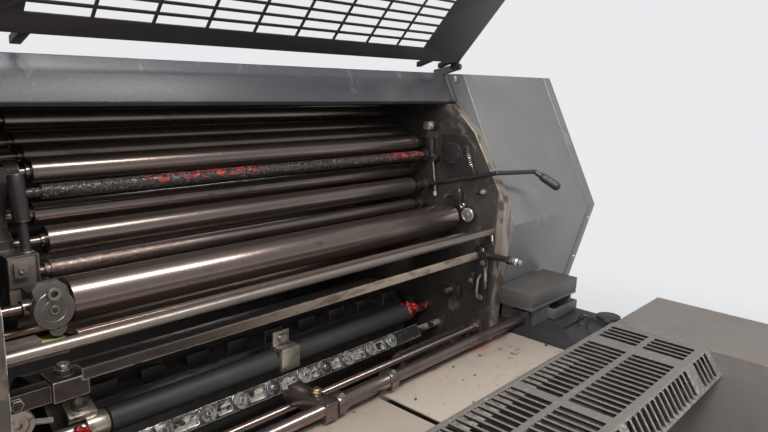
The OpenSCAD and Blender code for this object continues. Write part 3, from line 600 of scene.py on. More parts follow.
def rusty_lip(tree, shader):
    """Narrow sheet lip with a bright worn edge, brown at its left and stained cream at its right."""
    right = beyond(tree, RIGHTWARD, -0.3, 0.5)
    shade = patches(tree, 60.0, 0.55, 0.2, 0.0, (0.35, 1, 1))
    cream = mix(tree, shade, (0.36, 0.29, 0.225), (0.17, 0.115, 0.08))
    brown = mix(tree, shade, (0.03, 0.02, 0.016), (0.014, 0.01, 0.009))
    colour = mix(tree, right, brown, cream)
    rust = times(tree, right, patches(tree, 90.0, 0.3, 0.06, 6.0, (0.4, 1, 1)))
    colour = tint(tree, colour, rust, 0.7, (0.3, 0.1, 0.035))
    colour, edge = edged(tree, colour, (0.002, 0.9, 40.0), (0.55, 0.5, 0.45))
    coat(tree, shader, colour, (edge, 0.42, 0.3), (edge, 0.35, 0.9))
    bump(tree, shader, rust, 0.3, 0.0006)


def pile_boards(tree, shader):
    grain = patches(tree, 90.0, 0.6, 0.4, 0.0, (0.08, 1, 1))
    colour = mix(tree, grain, (0.5, 0.35, 0.2), (0.3, 0.18, 0.09))
    coat(tree, shader, colour, 0.65)
    bump(tree, shader, grain, 0.3, 0.0006)


FINISHES = {}
NODE_FINISH = {
    "side_frame_right": "frame_casting",
    "side_frame_left": "frame_casting",
    "thin_rider": "copper_roller",
    "lower_lip": "rusty_lip",
    "cross_rod": "rod_steel",
    "gripper_bar": "gripper_plate",
}


RECIPES = {
    "hammer_grey": (hammer_paint, (0.15, 0.146, 0.147), (0.115, 0.112, 0.114), 0.34, 0.3),
    "dark_hammer": (hammer_paint, (0.072, 0.07, 0.077), (0.05, 0.048, 0.054), 0.38, 0.5),
    "black_sheet": (satin_black, (0.012, 0.011, 0.012), 0.42, 0.3),
    "bare_cast": (oily_iron, (0.24, 0.195, 0.155), (0.11, 0.08, 0.06), (0.06, 0.04, 0.03), 0.4),
    "frame_casting": (frame_casting,),
    "roller_steel": (turned_steel, (0.172, 0.138, 0.122), (0.062, 0.046, 0.04), 0.25, 0.45),
    "copper_roller": (copper_roller,),
    "bright_steel": (turned_steel, (0.38, 0.35, 0.325), (0.15, 0.12, 0.105), 0.28, 0.45),
    "rod_steel": (turned_steel, (0.22, 0.19, 0.17), (0.11, 0.088, 0.076), 0.36, 0.5),
    "worn_silver": (turned_steel, (0.5, 0.47, 0.43), (0.22, 0.19, 0.165), 0.36, 0.45),
    "grey_cast": (
        oily_iron, (0.07, 0.062, 0.055), (0.035, 0.031, 0.028), (0.015, 0.013, 0.012), 0.34),
    "worn_cast": (oily_iron, (0.12, 0.1, 0.086), (0.05, 0.041, 0.036), (0.22, 0.18, 0.15), 0.36),
    "brass": (turned_steel, (0.3, 0.24, 0.14), (0.16, 0.12, 0.075), 0.3, 0.4),
    "gripper_plate": (gripper_plate,),
    "worn_pad": (worn_pad,),
    "red_ink": (red_ink,),
    "green_tape": (worn_paint, (0.22, 0.27, 0.07), (0.1, 0.13, 0.045), 0.4, 0.2, 0.45),
    "inked_black": (caked_ink,),
    "oily_black": (
        oily_iron, (0.026, 0.023, 0.022), (0.012, 0.011, 0.011), (0.12, 0.08, 0.06), 0.3),
    "dark_rubber": (rubber_bar,),
    "tray_sheet": (tray_sheet,),
    "rusty_lip": (rusty_lip,),
    "guide_plate": (stained_plate,),
    "warm_deck": (worn_paint, (0.105, 0.092, 0.083), (0.074, 0.064, 0.058), 0.4, 0.6, 0.15),
    "grille_paint": (grille_paint,),
    "box_plastic": (satin_black, (0.046, 0.043, 0.04), 0.45, 0.15),
    "pile_wood": (pile_boards,),
}


def build_finishes():
    for name, (maker, *values) in RECIPES.items():
        FINISHES[name], tree, shader = new_material(name)
        maker(tree, shader, *values)


# Pieces

def smooth(mesh):
    mesh.shade_smooth()
    mesh.set_sharp_from_angle(angle=SMOOTH_ANGLE)


def link_piece(name, mesh, material):
    mesh.materials.clear()
    mesh.materials.append(material)
    piece = bpy.data.objects.new(name, mesh)
    bpy.context.collection.objects.link(piece)
    return piece


def applied(piece):
    """The piece's mesh with its modifiers applied, and the modifiers removed."""
    graph = bpy.context.evaluated_depsgraph_get()
    mesh = bpy.data.meshes.new_from_object(piece.evaluated_get(graph))
    old = piece.data
    piece.modifiers.clear()
    piece.data = mesh
    bpy.data.meshes.remove(old)
    return piece


def break_edges(piece, width):
    bevel = piece.modifiers.new("edges", "BEVEL")
    bevel.width = width
    bevel.segments = EDGE_SEGMENTS
    bevel.limit_method = "ANGLE"
    bevel.angle_limit = BEVEL_ANGLE
    return applied(piece)


def finish_of(node):
    return FINISHES[NODE_FINISH.get(node, SLOT_OF[node])]


def rounded_node(node, width):
    """A copy of a CAD node with its edges broken by a small bevel, which stands for it."""
    source = frame["nodes"][node]
    work = bmesh.new()
    work.from_mesh(source.data)
    work.transform(source.matrix_world)
    bmesh.ops.remove_doubles(work, verts=work.verts, dist=1e-6)
    bmesh.ops.dissolve_limit(
        work, angle_limit=math.radians(0.5), verts=work.verts, edges=work.edges)
    mesh = bpy.data.meshes.new(node + ".rounded")
    work.to_mesh(mesh)
    work.free()
    piece = break_edges(link_piece(node + ".rounded", mesh, finish_of(node)), width)
    smooth(piece.data)
    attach(piece, BODY_OF[node])
    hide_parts(node)
    return piece


ROUNDED = {
    "top_beam": 0.0014,
    "side_cover_right": 0.0016,
    "side_cover_left": 0.0016,
    "side_frame_right": 0.0016,
    "junction_box": 0.0014,
    "deck_right": 0.001,
    "delivery_cover_right": 0.0016,
    "delivery_cover_left": 0.0016,
    "delivery_grille": 0.0009,
    "sheet_guide_plates": 0.0007,
    "gripper_bar": 0.0007,
    "lower_lip": 0.0007,
    "delivery_shaft": 0.001,
    "guide_shaft": 0.0006,
    "clamp_bar": 0.001,
    "roller_guard": 0.0006,
    "bearings_left": 0.001,
    "bearings_right": 0.0008,
    "form_roller": 0.0012,
    "transfer_drum": 0.001,
    "lower_cover_right": 0.0016,
    "lower_cover_left": 0.0016,
    "feeder_side_right": 0.0016,
    "feeder_side_left": 0.0016,
    "hinge_brackets": 0.0008,
}


def dress_nodes(skipped):
    for node, piece in frame["nodes"].items():
        if node in skipped:
            continue
        if node in ROUNDED:
            rounded_node(node, ROUNDED[node])
            continue
        piece.data.materials.clear()
        piece.data.materials.append(finish_of(node))


class Shape:
    """Mesh code for one piece, in millimetres of the press's frame."""

    def __init__(self):
        self.work = bmesh.new()

    def add(self, points, faces):
        made = [self.work.verts.new(p) for p in points]
        for face in faces:
            self.work.faces.new([made[i] for i in face])
        return self

    def box(self, low, high):
        (ax, ay, az), (bx, by, bz) = low, high
        points = [(x, y, z) for x in (ax, bx) for y in (ay, by) for z in (az, bz)]
        faces = [(0, 1, 3, 2), (4, 6, 7, 5), (0, 4, 5, 1), (2, 3, 7, 6), (0, 2, 6, 4), (1, 5, 7, 3)]
        return self.add(points, faces)

    def slab(self, outline, origin, u, v, thick):
        """An outline in the plane of u and v, made thick along their cross product."""
        u, v, origin = Vector(u).normalized(), Vector(v).normalized(), Vector(origin)
        out = u.cross(v) * thick
        base = [origin + a * u + b * v for a, b in outline]
        count = len(base)
        faces = [tuple(reversed(range(count))), tuple(range(count, 2 * count))]
        for i in range(count):
            j = (i + 1) % count
            faces.append((i, j, count + j, count + i))
        return self.add(base + [p + out for p in base], faces)

    def turned(self, profile, at, axis, segments=32):
        """A profile of (radius, height) turned about an axis; a third value gives flat sides."""
        turn = Vector((0, 0, 1)).rotation_difference(Vector(axis).normalized()).to_matrix()
        points = []
        rings = []
        for entry in profile:
            radius, height = entry[:2]
            sides = entry[2] if len(entry) > 2 else 0
            ring = []
            for i in range(segments if radius > 0 else 1):
                angle = math.tau * i / segments
                reach = radius
                if sides:
                    part = math.tau / sides
                    reach = radius * math.cos(part / 2) / math.cos(angle % part - part / 2)
                ring.append(len(points))
                flat = Vector((reach * math.cos(angle), reach * math.sin(angle), height))
                points.append(Vector(at) + turn @ flat)
            rings.append(ring)
        faces = []
        for low, high in zip(rings, rings[1:]):
            faces += self.between(low, high, segments)
        if len(rings[0]) > 1:
            faces.append(tuple(reversed(rings[0])))
        if len(rings[-1]) > 1:
            faces.append(tuple(rings[-1]))
        return self.add(points, faces)

    @staticmethod
    def between(low, high, segments):
        faces = []
        for i in range(segments):
            j = (i + 1) % segments
            if len(low) == 1 and len(high) > 1:
                faces.append((low[0], high[j], high[i]))
            elif len(high) == 1 and len(low) > 1:
                faces.append((low[i], low[j], high[0]))
            elif len(high) > 1:
                faces.append((low[i], low[j], high[j], high[i]))
        return faces

    def tube(self, path, radius, segments=10):
        """A round bar along a path of points."""
        path = [Vector(p) for p in path]
        points = []
        side = None
        last = len(path) - 1
        for i, p in enumerate(path):
            ahead = (path[min(i + 1, last)] - path[max(i - 1, 0)]).normalized()
            if side is None:
                side = ahead.orthogonal().normalized()
            side = (side - side.dot(ahead) * ahead).normalized()
            other = ahead.cross(side)
            for k in range(segments):
                angle = math.tau * k / segments
                points.append(p + radius * (math.cos(angle) * side + math.sin(angle) * other))
        faces = [tuple(reversed(range(segments)))]
        for i in range(last):
            for k in range(segments):
                a, b = i * segments + k, i * segments + (k + 1) % segments
                faces.append((a, b, b + segments, a + segments))
        faces.append(tuple(last * segments + k for k in range(segments)))
        return self.add(points, faces)

    def coil(self, start, end, radius, wire, turns, steps=14):
        """A coil spring between two points."""
        start, end = Vector(start), Vector(end)
        ahead = (end - start).normalized()
        side = ahead.orthogonal().normalized()
        other = ahead.cross(side)
        path = []
        for i in range(turns * steps + 1):
            angle = math.tau * i / steps
            middle = start.lerp(end, i / (turns * steps))
            path.append(middle + radius * (math.cos(angle) * side + math.sin(angle) * other))
        return self.tube(path, wire, 8)

    def mesh(self, name):
        bmesh.ops.recalc_face_normals(self.work, faces=self.work.faces)
        self.work.transform(Matrix.Scale(MM, 4))
        mesh = bpy.data.meshes.new(name)
        self.work.to_mesh(mesh)
        self.work.free()
        return mesh

    def finish(self, name, slot, finish=None, edge=0.0, body="press"):
        piece = link_piece(name, self.mesh(name), FINISHES[finish or slot])
        if edge:
            break_edges(piece, edge * MM)
        smooth(piece.data)
        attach(piece, body)
        return piece


# What repeats: an item at each of a list of places

def places_tree():
    tree = bpy.data.node_groups.new("items_at_places", "GeometryNodeTree")
    sockets = (("Places", "Geometry"), ("Item", "Object"), ("Finish", "Material"), ("Seed", "Int"))
    for label, kind in sockets:
        tree.interface.new_socket(label, in_out="INPUT", socket_type="NodeSocket" + kind)
    tree.interface.new_socket("Geometry", in_out="OUTPUT", socket_type="NodeSocketGeometry")
    link = tree.links.new
    start = add(tree, "NodeGroupInput").outputs
    end = add(tree, "NodeGroupOutput").inputs
    item = add(tree, "GeometryNodeObjectInfo")
    link(start["Item"], item.inputs["Object"])
    axis = add(tree, "GeometryNodeInputNamedAttribute", data_type="FLOAT_VECTOR")
    axis.inputs["Name"].default_value = "axis"
    size = add(tree, "GeometryNodeInputNamedAttribute", data_type="FLOAT")
    size.inputs["Name"].default_value = "size"
    aim = add(tree, "FunctionNodeAlignRotationToVector", axis="Z")
    link(axis.outputs[0], aim.inputs["Vector"])
    chance = add(tree, "FunctionNodeRandomValue", data_type="FLOAT")
    feed(tree, chance.inputs[3], math.tau)
    link(start["Seed"], chance.inputs["Seed"])
    about = add(tree, "FunctionNodeAxisAngleToRotation")
    about.inputs["Axis"].default_value = (0, 0, 1)
    link(chance.outputs[1], about.inputs["Angle"])
    turn = add(tree, "FunctionNodeRotateRotation", rotation_space="LOCAL")
    link(aim.outputs[0], turn.inputs["Rotation"])
    link(about.outputs[0], turn.inputs["Rotate By"])
    put = add(tree, "GeometryNodeInstanceOnPoints")
    link(start["Places"], put.inputs["Points"])
    link(item.outputs["Geometry"], put.inputs["Instance"])
    link(turn.outputs[0], put.inputs["Rotation"])
    link(size.outputs[0], put.inputs["Scale"])
    real = add(tree, "GeometryNodeRealizeInstances")
    link(put.outputs[0], real.inputs[0])
    paint = add(tree, "GeometryNodeSetMaterial")
    link(real.outputs[0], paint.inputs["Geometry"])
    link(start["Finish"], paint.inputs["Material"])
    link(paint.outputs[0], end["Geometry"])
    return tree


def repeated(name, item, places, slot, seed, finish=None, body="press"):
    """The item at each place, given as (point in mm, axis, size)."""
    paint = FINISHES[finish or slot]
    item_mesh = item.mesh(name + ".item")
    holder = link_piece(name + ".item", item_mesh, paint)
    smooth(holder.data)
    mesh = bpy.data.meshes.new(name)
    mesh.from_pydata([Vector(p) * MM for p, _, _ in places], [], [])
    mesh.attributes.new("axis", "FLOAT_VECTOR", "POINT")
    mesh.attributes.new("size", "FLOAT", "POINT")
    for i, (_, axis, size) in enumerate(places):
        mesh.attributes["axis"].data[i].vector = Vector(axis).normalized()
        mesh.attributes["size"].data[i].value = size
    piece = link_piece(name, mesh, paint)
    modifier = piece.modifiers.new("places", "NODES")
    modifier.node_group = PLACES["tree"]
    sockets = PLACES["tree"].interface.items_tree
    labels = {s.name: s.identifier for s in sockets if s.in_out == "INPUT"}
    modifier[labels["Item"]] = holder
    modifier[labels["Finish"]] = paint
    modifier[labels["Seed"]] = seed
    applied(piece)
    bpy.data.objects.remove(holder)
    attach(piece, body)
    return piece


PLACES = {}


def unit_item(profile, segments=24):
    """A profile turned about the vertical at the origin, to be put at places."""
    return Shape().turned(profile, (0, 0, 0), UPWARD, segments)


def socket_screw():
    """Cap screw of radius 1 with a sunk hexagon; its seat lies at height 0."""
    return unit_item([
        (0, -0.2), (1.0, -0.2), (1.0, 0.75), (0.93, 0.85), (0.66, 0.85), (0.6, 0.8, 6),
        (0.6, 0.3, 6), (0, 0.25),
    ])


def hexagon_bolt():
    """Bolt head of radius 1 on a washer; its seat lies at height 0."""
    return unit_item([
        (0, -0.2), (1.25, -0.2), (1.25, 0.12), (1.0, 0.14, 6), (1.0, 0.72, 6), (0.84, 0.82),
        (0, 0.84),
    ])


def pan_screw():
    """Low domed screw of radius 1 with a cross cut."""
    return unit_item([
        (0, -0.2), (1.0, -0.2), (1.0, 0.12), (0.88, 0.34), (0.6, 0.46), (0.42, 0.48, 4),
        (0.34, 0.3, 4), (0, 0.26),
    ])


def cover_screws():
    """Screws of the covers' end panels, the doors and the panels that face outwards."""
    places = []
    for x, way in ((COVER_OUT, 1), (-COVER_OUT, -1)):
        out = (way, 0, 0)
        for y, z in ((-233, 1015), (-250, 1180), (-128, 1435), (128, 1445), (388, 1310),
                     (398, 1010)):
            places.append(((x - way * 0.5, y, z), out, COVER_SCREW_R))
        door = (COVER_OUT - PANEL_INSET) * way
        for y, z in ((-185, 235), (-185, 880), (375, 235), (375, 880)):
            places.append(((door, y, z), out, COVER_SCREW_R))
        end = (DELIVERY_OUT - PANEL_INSET) * way
        for y in (-1368, -492):
            for z in (260, 560, 860):
                places.append(((end, y, z), out, COVER_SCREW_R))
    repeated("cover_screws", pan_screw(), places, "bright_steel", 3)


def strip_screws():
    """Small screws in the cover's end strip, which faces the delivery."""
    lower = Vector((0, -201, -52)).normalized()
    upper = Vector((0, -288, 146)).normalized()
    places = []
    for part in (0.35, 0.85):
        places.append(((STRIP_X, -245 - 52 * part, DECK_Z + 201 * part), lower, STRIP_SCREW_R))
    for part in (0.3, 0.8):
        places.append(((STRIP_X, -297 + 146 * part, 1176 + 288 * part), upper, STRIP_SCREW_R))
    repeated("strip_screws", pan_screw(), places, "bright_steel", 5)


def bore_rim():
    """Turned rim of a bore of radius 1; its seat lies at height 0."""
    return unit_item([
        (0, -0.3), (1.5, -0.3), (1.5, 0.12), (1.34, 0.22), (1.04, 0.22), (0.96, 0.04), (0, 0.04),
    ])


def bore_shade_disc():
    """Dark disc in the bore of a rim: painted shade that stands for the bore's depth."""
    return unit_item([(0, -0.1), (0.97, -0.1), (0.97, 0.08), (0, 0.07)])


# Left ends of the rollers

def holder_plate():
    """Eccentric plate of the form roller's holder: turned rings, a lug above and a lobe below."""
    face = HOLDER_FACE
    plate = Shape().turned([
        (0, -1), (22.4, -1), (22.4, face - 0.6), (21.8, face), (13.6, face), (13.2, face - 0.5),
        (12.6, face - 0.5), (12.2, face), (7.2, face), (6.6, face - 0.6), (5.2, face - 0.6),
        (4.8, face + 0.3), (0, face + 0.3),
    ], HOLDER_AT, FORWARD, 56)
    plate.finish("holder_plate", "bare_cast", "grey_cast")
    outline = [(-18.6, 11), (-22.7, 26.2), (-16.4, 33.7), (6.3, 33.7), (14.7, 26.4), (18.6, 11)]
    origin = (HOLDER_AT[0], HOLDER_AT[1] + 0.5, HOLDER_AT[2])
    lug = Shape().slab(outline, origin, RIGHTWARD, UPWARD, 9.8)
    lug.finish("holder_lug", "bare_cast", "grey_cast", 1.0)
    lobe = Shape().turned([(0, -1), (10, -1), (10, 6.4), (9.4, 7), (0, 7)], LOBE_AT, FORWARD, 32)
    lobe.finish("holder_lobe", "bare_cast", "grey_cast")


def left_blocks():
    """Worn steel blocks, the hub with its pin, and the taped pad beside the tray's left end."""
    blocks = Shape()
    blocks.box((-424.4, -128.5, 1156), (-388, -125, 1190))
    blocks.box((-424.4, -131, 1190), (-394, -125, 1226))
    blocks.box((-420, -137, 1203), (-404, -130, 1222))
    blocks.box((-470, -232, 1138), (-428, -214, 1160))
    blocks.box((LEFT_FACE, -228, 1141), (-468, -218, 1157))
    blocks.box((LEFT_FACE, -208, 1126), (-391, -190, 1132))
    blocks.finish("left_blocks", "bare_cast", "worn_cast", 1.0)
    hub = Shape().turned([
        (0, -16), (19, -16), (19, -2), (17.5, 0), (12.4, 0), (11.4, -1.6), (8.2, -1.6), (7.6, 0.4),
        (4.4, 0.4), (4, -3), (0, -3),
    ], (-446, -190, 1045), FORWARD, 40)
    hub.tube([(LEFT_FACE, -180, 1045), (-446, -180, 1045)], 9, 20)
    hub.tube([(-430, -184, 1042), (-407, -182, 1035)], 3.6, 16)
    hub.finish("left_hub", "bare_cast", "worn_silver")
    pad = Shape().box((-424, -211, 1131.5), (-393, -187, 1146))
    pad.finish("taped_pad", "guide_plate", "green_tape", 1.5)


# Right ends of the rollers, on the inner face of the side frame

def right_rods():
    """Clamp, hanging rod, spring and pins between the rollers' right ends and the lever."""
    rods = Shape()
    rods.tube([(ROD_X, -101, 1340), (ROD_X, -121, 1212)], 3, 16)
    rods.turned([(0, 0), (6, 0, 6), (6, 8, 6), (0, 8)], (ROD_X, -120.5, 1214), (0, 0.16, 1), 24)
    rods.box((388, -108, 1333), (RIGHT_FACE, -97, 1347))
    rods.tube([(381, -158, 1219), (RIGHT_FACE, -158, 1219)], 4, 16)
    rods.finish("right_rods", "bright_steel", "rod_steel")
    clamp = Shape().box((377.6, -112.4, 1350.6), (392.4, -95.6, 1367.4))
    clamp.box((410.7, -147, 1449), (416.3, -142, 1459))
    clamp.finish("right_clamp", "bright_steel", "worn_silver", 1.2)
    spring = Shape().coil((399.3, -196, 1309), (399.3, -206, 1283), 3.9, 1.0, 6)
    spring.finish("right_spring", "bright_steel", "worn_silver")
    ends = Shape()
    ends.turned([(0, 0), (5.4, 0), (5.4, 8), (4.6, 9.4), (2.4, 9.4), (2.2, 8.6), (0, 8.6)],
                (398.5, -235.6, 1236.2), (0, -0.94, 0.34), 28)
    ends.turned([(0, 0), (5.3, 0), (7.2, 2.4), (7.2, 9), (5.4, 11.5), (5.4, 16.8), (3, 17.6),
                 (0, 17.6)], (398, -317.5, 1113), FORWARD, 28)
    ends.finish("right_ends", "bright_steel", "worn_silver")


def gauge_face():
    face = Shape().turned([
        (0, -2), (14.5, -2), (14.5, 1.1), (13.8, 1.8), (11, 1.8), (10.5, 1.2), (4.2, 1.2),
        (3.8, 2.0), (0, 2.0),
    ], GAUGE_AT, LEFTWARD, 40)
    face.finish("gauge_face", "bright_steel", "worn_silver")


def right_brackets():
    """Dark brackets and hooks below the cross rod's right end."""
    parts = Shape()
    parts.box((391, -190, 1208), (RIGHT_FACE, -168, 1231))
    parts.box((397, -262, 1014), (RIGHT_FACE, -238, 1106))
    parts.box((384, -252, 1116), (RIGHT_FACE, -240, 1129))
    parts.box((386, -236, 1040), (398, -226, 1072))
    parts.box((392, -200, 1010), (RIGHT_FACE, -150, 1034))
    parts.finish("right_brackets", "oily_black", edge=1.2)
    hooks = Shape()
    hooks.tube([(398, -256, 1084), (389, -263, 1078), (385, -267, 1064), (389, -265, 1048),
                (398, -258, 1042)], 3, 14)
    hooks.tube([(398, -246, 1068), (382, -251, 1062), (377, -253, 1042), (380, -254, 1026)], 2.6, 14)
    hooks.tube([(404, -262, 1154), (396, -268, 1153), (392, -272, 1145), (396, -271, 1137),
                (404, -264, 1136)], 2.8, 14)
    hooks.tube([(398, -180, 1024), (378, -178, 1022)], 5, 14)
    hooks.finish("right_hooks", "bare_cast", "worn_cast")


# Ink that has built up

def inked_rod_crust():
    """The inked rod with a lumpy crust, which stands for the plain one."""
    y, z = INKED_ROD
    step = 2 * ROLLER_HALF / CRUST_RINGS
    rings = [(INKED_R, -ROLLER_HALF + step * i) for i in range(CRUST_RINGS + 1)]
    profile = [(0, -402), (INKED_END_R, -402), (INKED_END_R, -ROLLER_HALF - 0.1)] + rings
    profile += [(INKED_END_R, ROLLER_HALF + 0.1), (INKED_END_R, 401), (0, 401)]
    shape = Shape().turned(profile, (0, y, z), RIGHTWARD, 36)
    axis = Vector((0, y, z))
    for vert in shape.work.verts:
        if abs(vert.co.x) < ROLLER_HALF - 0.5:
            out = vert.co - axis
            out.x = 0
            rise = field.fractal(vert.co * 0.22, 0.9, 2.1, 4)
            vert.co += out.normalized() * CRUST * max(0.0, min(1.0, 0.4 + rise))
    piece = shape.finish("inked_rod_crust", SLOT_OF["inked_rod"], body="inked")
    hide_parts("inked_rod")


def clots():
    """Lumps of red ink on the clamp bar's sleeves."""
    y, z = CLAMP_BAR
    shape = Shape()
    for i, (x, turn, reach, size) in enumerate((
            (-352, 150, 15, 6), (-345, 175, 17, 8), (-357, 195, 13, 6), (-349, 215, 15, 5),
            (331, 60, 16, 6), (339, 100, 16, 7), (347, 140, 16, 6), (343, 75, 17, 5),
            (335, 130, 17, 5), (352, 110, 14, 6), (362, 90, 10, 5))):
        angle = math.radians(turn)
        middle = Vector((x, y + reach * math.cos(angle), z + reach * math.sin(angle)))
        made = bmesh.ops.create_icosphere(shape.work, subdivisions=3, radius=size)["verts"]
        for vert in made:
            rise = field.fractal(vert.co * 0.16 + Vector((i * 7.0, 0, 0)), 0.9, 2.0, 3)
            vert.co = middle + vert.co * (1 + 0.35 * rise)
    shape.finish("red_clots", "inked_black", "red_ink")


# Screws, bores and pads on the mechanisms

def gripper_pads():
    """Round pads of the gripper bar with a rim and a notched middle, and the block at its left."""
    y, z = GRIPPER_AT
    seat = (y + PAD_FACE * GRIPPER_OUT[1], z + PAD_FACE * GRIPPER_OUT[2])
    places = [((x, *seat), GRIPPER_OUT, PAD_R) for x in PAD_X]
    pad = unit_item([
        (0, -0.34), (1.0, -0.34), (1.0, 0.05), (0.95, 0.1), (0.72, 0.1), (0.68, 0.05),
        (0.42, 0.05, 8), (0.36, 0.13, 8), (0.16, 0.13), (0.13, 0.03), (0, 0.03),
    ], 40)
    repeated("gripper_pads", pad, places, SLOT_OF["gripper_bar"], 9, "worn_pad")
    outline = [(-13, -11), (13, -11), (13, 11), (-13, 11)]
    block = Shape().slab(
        outline, (PAD_BLOCK_X, *seat), RIGHTWARD, (0, 0.574, 0.819), PAD_BLOCK_THICK)
    block.finish("gripper_block", SLOT_OF["gripper_bar"], "worn_pad", 1.0)


def mechanism_screws():
    tilted = (0, -0.469, 0.883)
    sockets = [
        ((3, -103, 1002), FORWARD, 8.6),
        ((-343, -101.4, 997.6), tilted, 10.4), ((-405, -224, 1116), UPWARD, 7),
        ((385, -112.2, 1359), FORWARD, 4.5), ((397, -194, 1203), LEFTWARD, 6.4),
        ((-412, -136.8, 1213), FORWARD, 3.4),
        ((391, -252, 1122.5), FORWARD, 4), ((400, -180, 1231), UPWARD, 3.6),
    ]
    repeated("socket_screws", socket_screw(), sockets, "bright_steel", 11)
    oily = [
        ((-406, -211.5, 1202), FORWARD, 7.3), ((376, -258.5, 969), (0, -0.8, 0.6), 3.4),
        ((43, -331, 1000.9), (0, -0.5, 0.866), 3.6), ((-68, -331, 1000.9), (0, -0.5, 0.866), 3.6),
    ]
    repeated("oily_screws", socket_screw(), oily, "bare_cast", 23, "worn_cast")
    bolts = [
        ((397.2, -250, 1095), LEFTWARD, 5), ((397.2, -250, 1022), LEFTWARD, 5),
        ((386.2, -231, 1056), LEFTWARD, 4), ((-455, -227.8, 1149), FORWARD, 4),
        ((-400, -129, 1172), FORWARD, 4),
    ]
    repeated("frame_bolts", hexagon_bolt(), bolts, "bare_cast", 13, "worn_cast")
    brass = [((-89, -301, 1004.6), UPWARD, 6.4)]
    repeated("brass_bolt", hexagon_bolt(), brass, "bright_steel", 17, "brass")
    bores = [
        ((HOLDER_AT[0], HOLDER_AT[1] - HOLDER_FACE - 0.3, HOLDER_AT[2]), FORWARD, 4),
        ((LOBE_AT[0], LOBE_AT[1] - 7, LOBE_AT[2]), FORWARD, 3.4),
        ((-438, -232, 1149), FORWARD, 4), ((385, -112.3, 1359), FORWARD, 1.2),
    ]
    rise = PAD_FACE + PAD_BLOCK_THICK
    bores.append(((PAD_BLOCK_X, GRIPPER_AT[0] + rise * GRIPPER_OUT[1],
                   GRIPPER_AT[1] + rise * GRIPPER_OUT[2]), GRIPPER_OUT, 4))
    bores += [((GAUGE_AT[0] - 1.2, GAUGE_AT[1] + a, GAUGE_AT[2] + b), LEFTWARD, 1.1)
              for a, b in ((7.4, 0), (-7.4, 0), (0, 7.4), (0, -7.4))]
    repeated("bore_rims", bore_rim(), bores, "bare_cast", 19, "grey_cast")
    # Dark discs in the rims: painted shade in place of the bores' depth
    repeated("bore_floors", bore_shade_disc(), bores, "oily_black", 19)


def small_pieces():
    cover_screws()
    strip_screws()
    holder_plate()
    left_blocks()
    right_rods()
    gauge_face()
    right_brackets()
    inked_rod_crust()
    clots()
    gripper_pads()
    mechanism_screws()


# Studio

def build_world():
    world = bpy.data.worlds.new("studio")
    bpy.context.scene.world = world
    world.use_nodes = True
    tree = world.node_tree
    background = tree.nodes["Background"]
    background.inputs["Color"].default_value = SKY_COLOUR
    paths = add(tree, "ShaderNodeLightPath")
    seen = either(tree, paths.outputs["Is Camera Ray"], paths.outputs["Is Transmission Ray"])
    soft = remap(tree, paths.outputs["Is Glossy Ray"], 0, 1, DIFFUSE_SKY, GLOSSY_SKY)
    level = add(tree, "ShaderNodeMix", data_type="FLOAT")
    feed(tree, level.inputs[0], seen)
    feed(tree, level.inputs[2], soft)
    feed(tree, level.inputs[3], CAMERA_SKY)
    tree.links.new(level.outputs[0], background.inputs["Strength"])


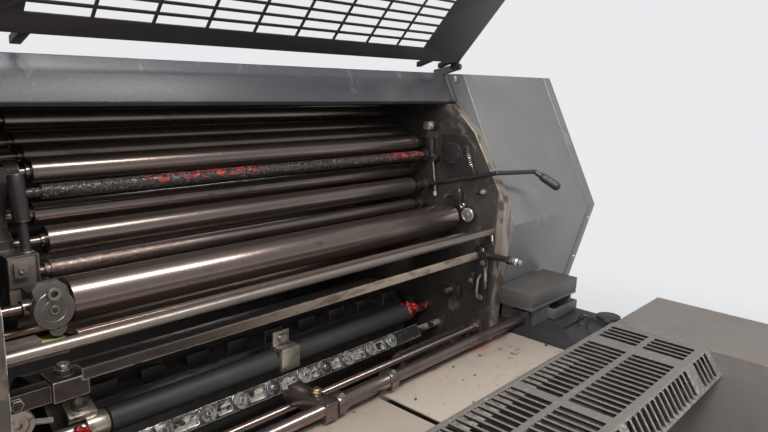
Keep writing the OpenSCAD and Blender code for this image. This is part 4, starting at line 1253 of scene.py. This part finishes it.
def build_floor():
    work = bmesh.new()
    bmesh.ops.create_circle(work, cap_ends=True, radius=FLOOR_R, segments=96)
    mesh = bpy.data.meshes.new("studio_floor")
    work.to_mesh(mesh)
    work.free()
    material, tree, shader = new_material("studio_floor")
    shader.inputs["Base Color"].default_value = FLOOR_GREY
    shader.inputs["Roughness"].default_value = 0.8
    where = here(tree)
    length = add(tree, "ShaderNodeVectorMath", operation="LENGTH")
    tree.links.new(where, length.inputs[0])
    far = remap(tree, length.outputs["Value"], *GLOW_SPAN)
    glow = add(tree, "ShaderNodeEmission")
    glow.inputs["Color"].default_value = SKY_COLOUR
    glow.inputs["Strength"].default_value = CAMERA_SKY
    mixed = add(tree, "ShaderNodeMixShader")
    tree.links.new(far, mixed.inputs[0])
    tree.links.new(shader.outputs[0], mixed.inputs[1])
    tree.links.new(glow.outputs[0], mixed.inputs[2])
    tree.links.new(mixed.outputs[0], tree.nodes["Material Output"].inputs["Surface"])
    floor = link_piece("studio_floor", mesh, material)


LAMPS = (
    ("overhead", (-0.4, -1.5, 3.3), (0.0, -0.2, 1.1), (3.0, 0.5), (1.0, 0.98, 0.95)),
    ("window", (-3.5, -1.5, 2.6), (0.0, 0.0, 1.2), (2.0, 1.6), (0.88, 0.92, 1.0)),
    ("back", (2.5, 3.0, 3.2), (0.0, 0.3, 1.0), (2.5, 1.5), (1.0, 0.97, 0.93)),
)


def build_lights():
    for name, at, towards, size, colour in LAMPS:
        data = bpy.data.lights.new(name, "AREA")
        data.shape = "RECTANGLE"
        data.size, data.size_y = size
        data.energy = LAMP_POWER
        data.color = colour
        lamp = bpy.data.objects.new(name, data)
        lamp.location = at
        lamp.rotation_euler = (Vector(towards) - Vector(at)).to_track_quat("-Z", "Y").to_euler()
        bpy.context.collection.objects.link(lamp)


def build_camera():
    yaw, pitch, roll = (math.radians(v) for v in (CAMERA_YAW, CAMERA_PITCH, CAMERA_ROLL))
    forward = Vector((
        math.sin(yaw) * math.cos(pitch), math.cos(yaw) * math.cos(pitch), math.sin(pitch)))
    level = Vector((math.cos(yaw), -math.sin(yaw), 0.0))
    upright = level.cross(forward)
    right = math.cos(roll) * level + math.sin(roll) * upright
    up = math.cos(roll) * upright - math.sin(roll) * level
    data = bpy.data.cameras.new("camera")
    data.sensor_width = SENSOR
    data.lens = FOCAL_PIXELS * SENSOR / FRAME_WIDTH
    data.clip_start = 0.05
    camera = bpy.data.objects.new("camera", data)
    turned = Matrix((right, up, -forward)).transposed().to_4x4()
    camera.matrix_world = Matrix.Translation(CAMERA_AT) @ turned
    bpy.context.collection.objects.link(camera)
    bpy.context.scene.camera = camera


build_camera()
build_groups()
build_finishes()
PLACES["tree"] = places_tree()
dress_nodes(("inked_rod",))
small_pieces()
build_world()
build_floor()
build_lights()
bpy.context.scene.view_settings.view_transform = "Standard"
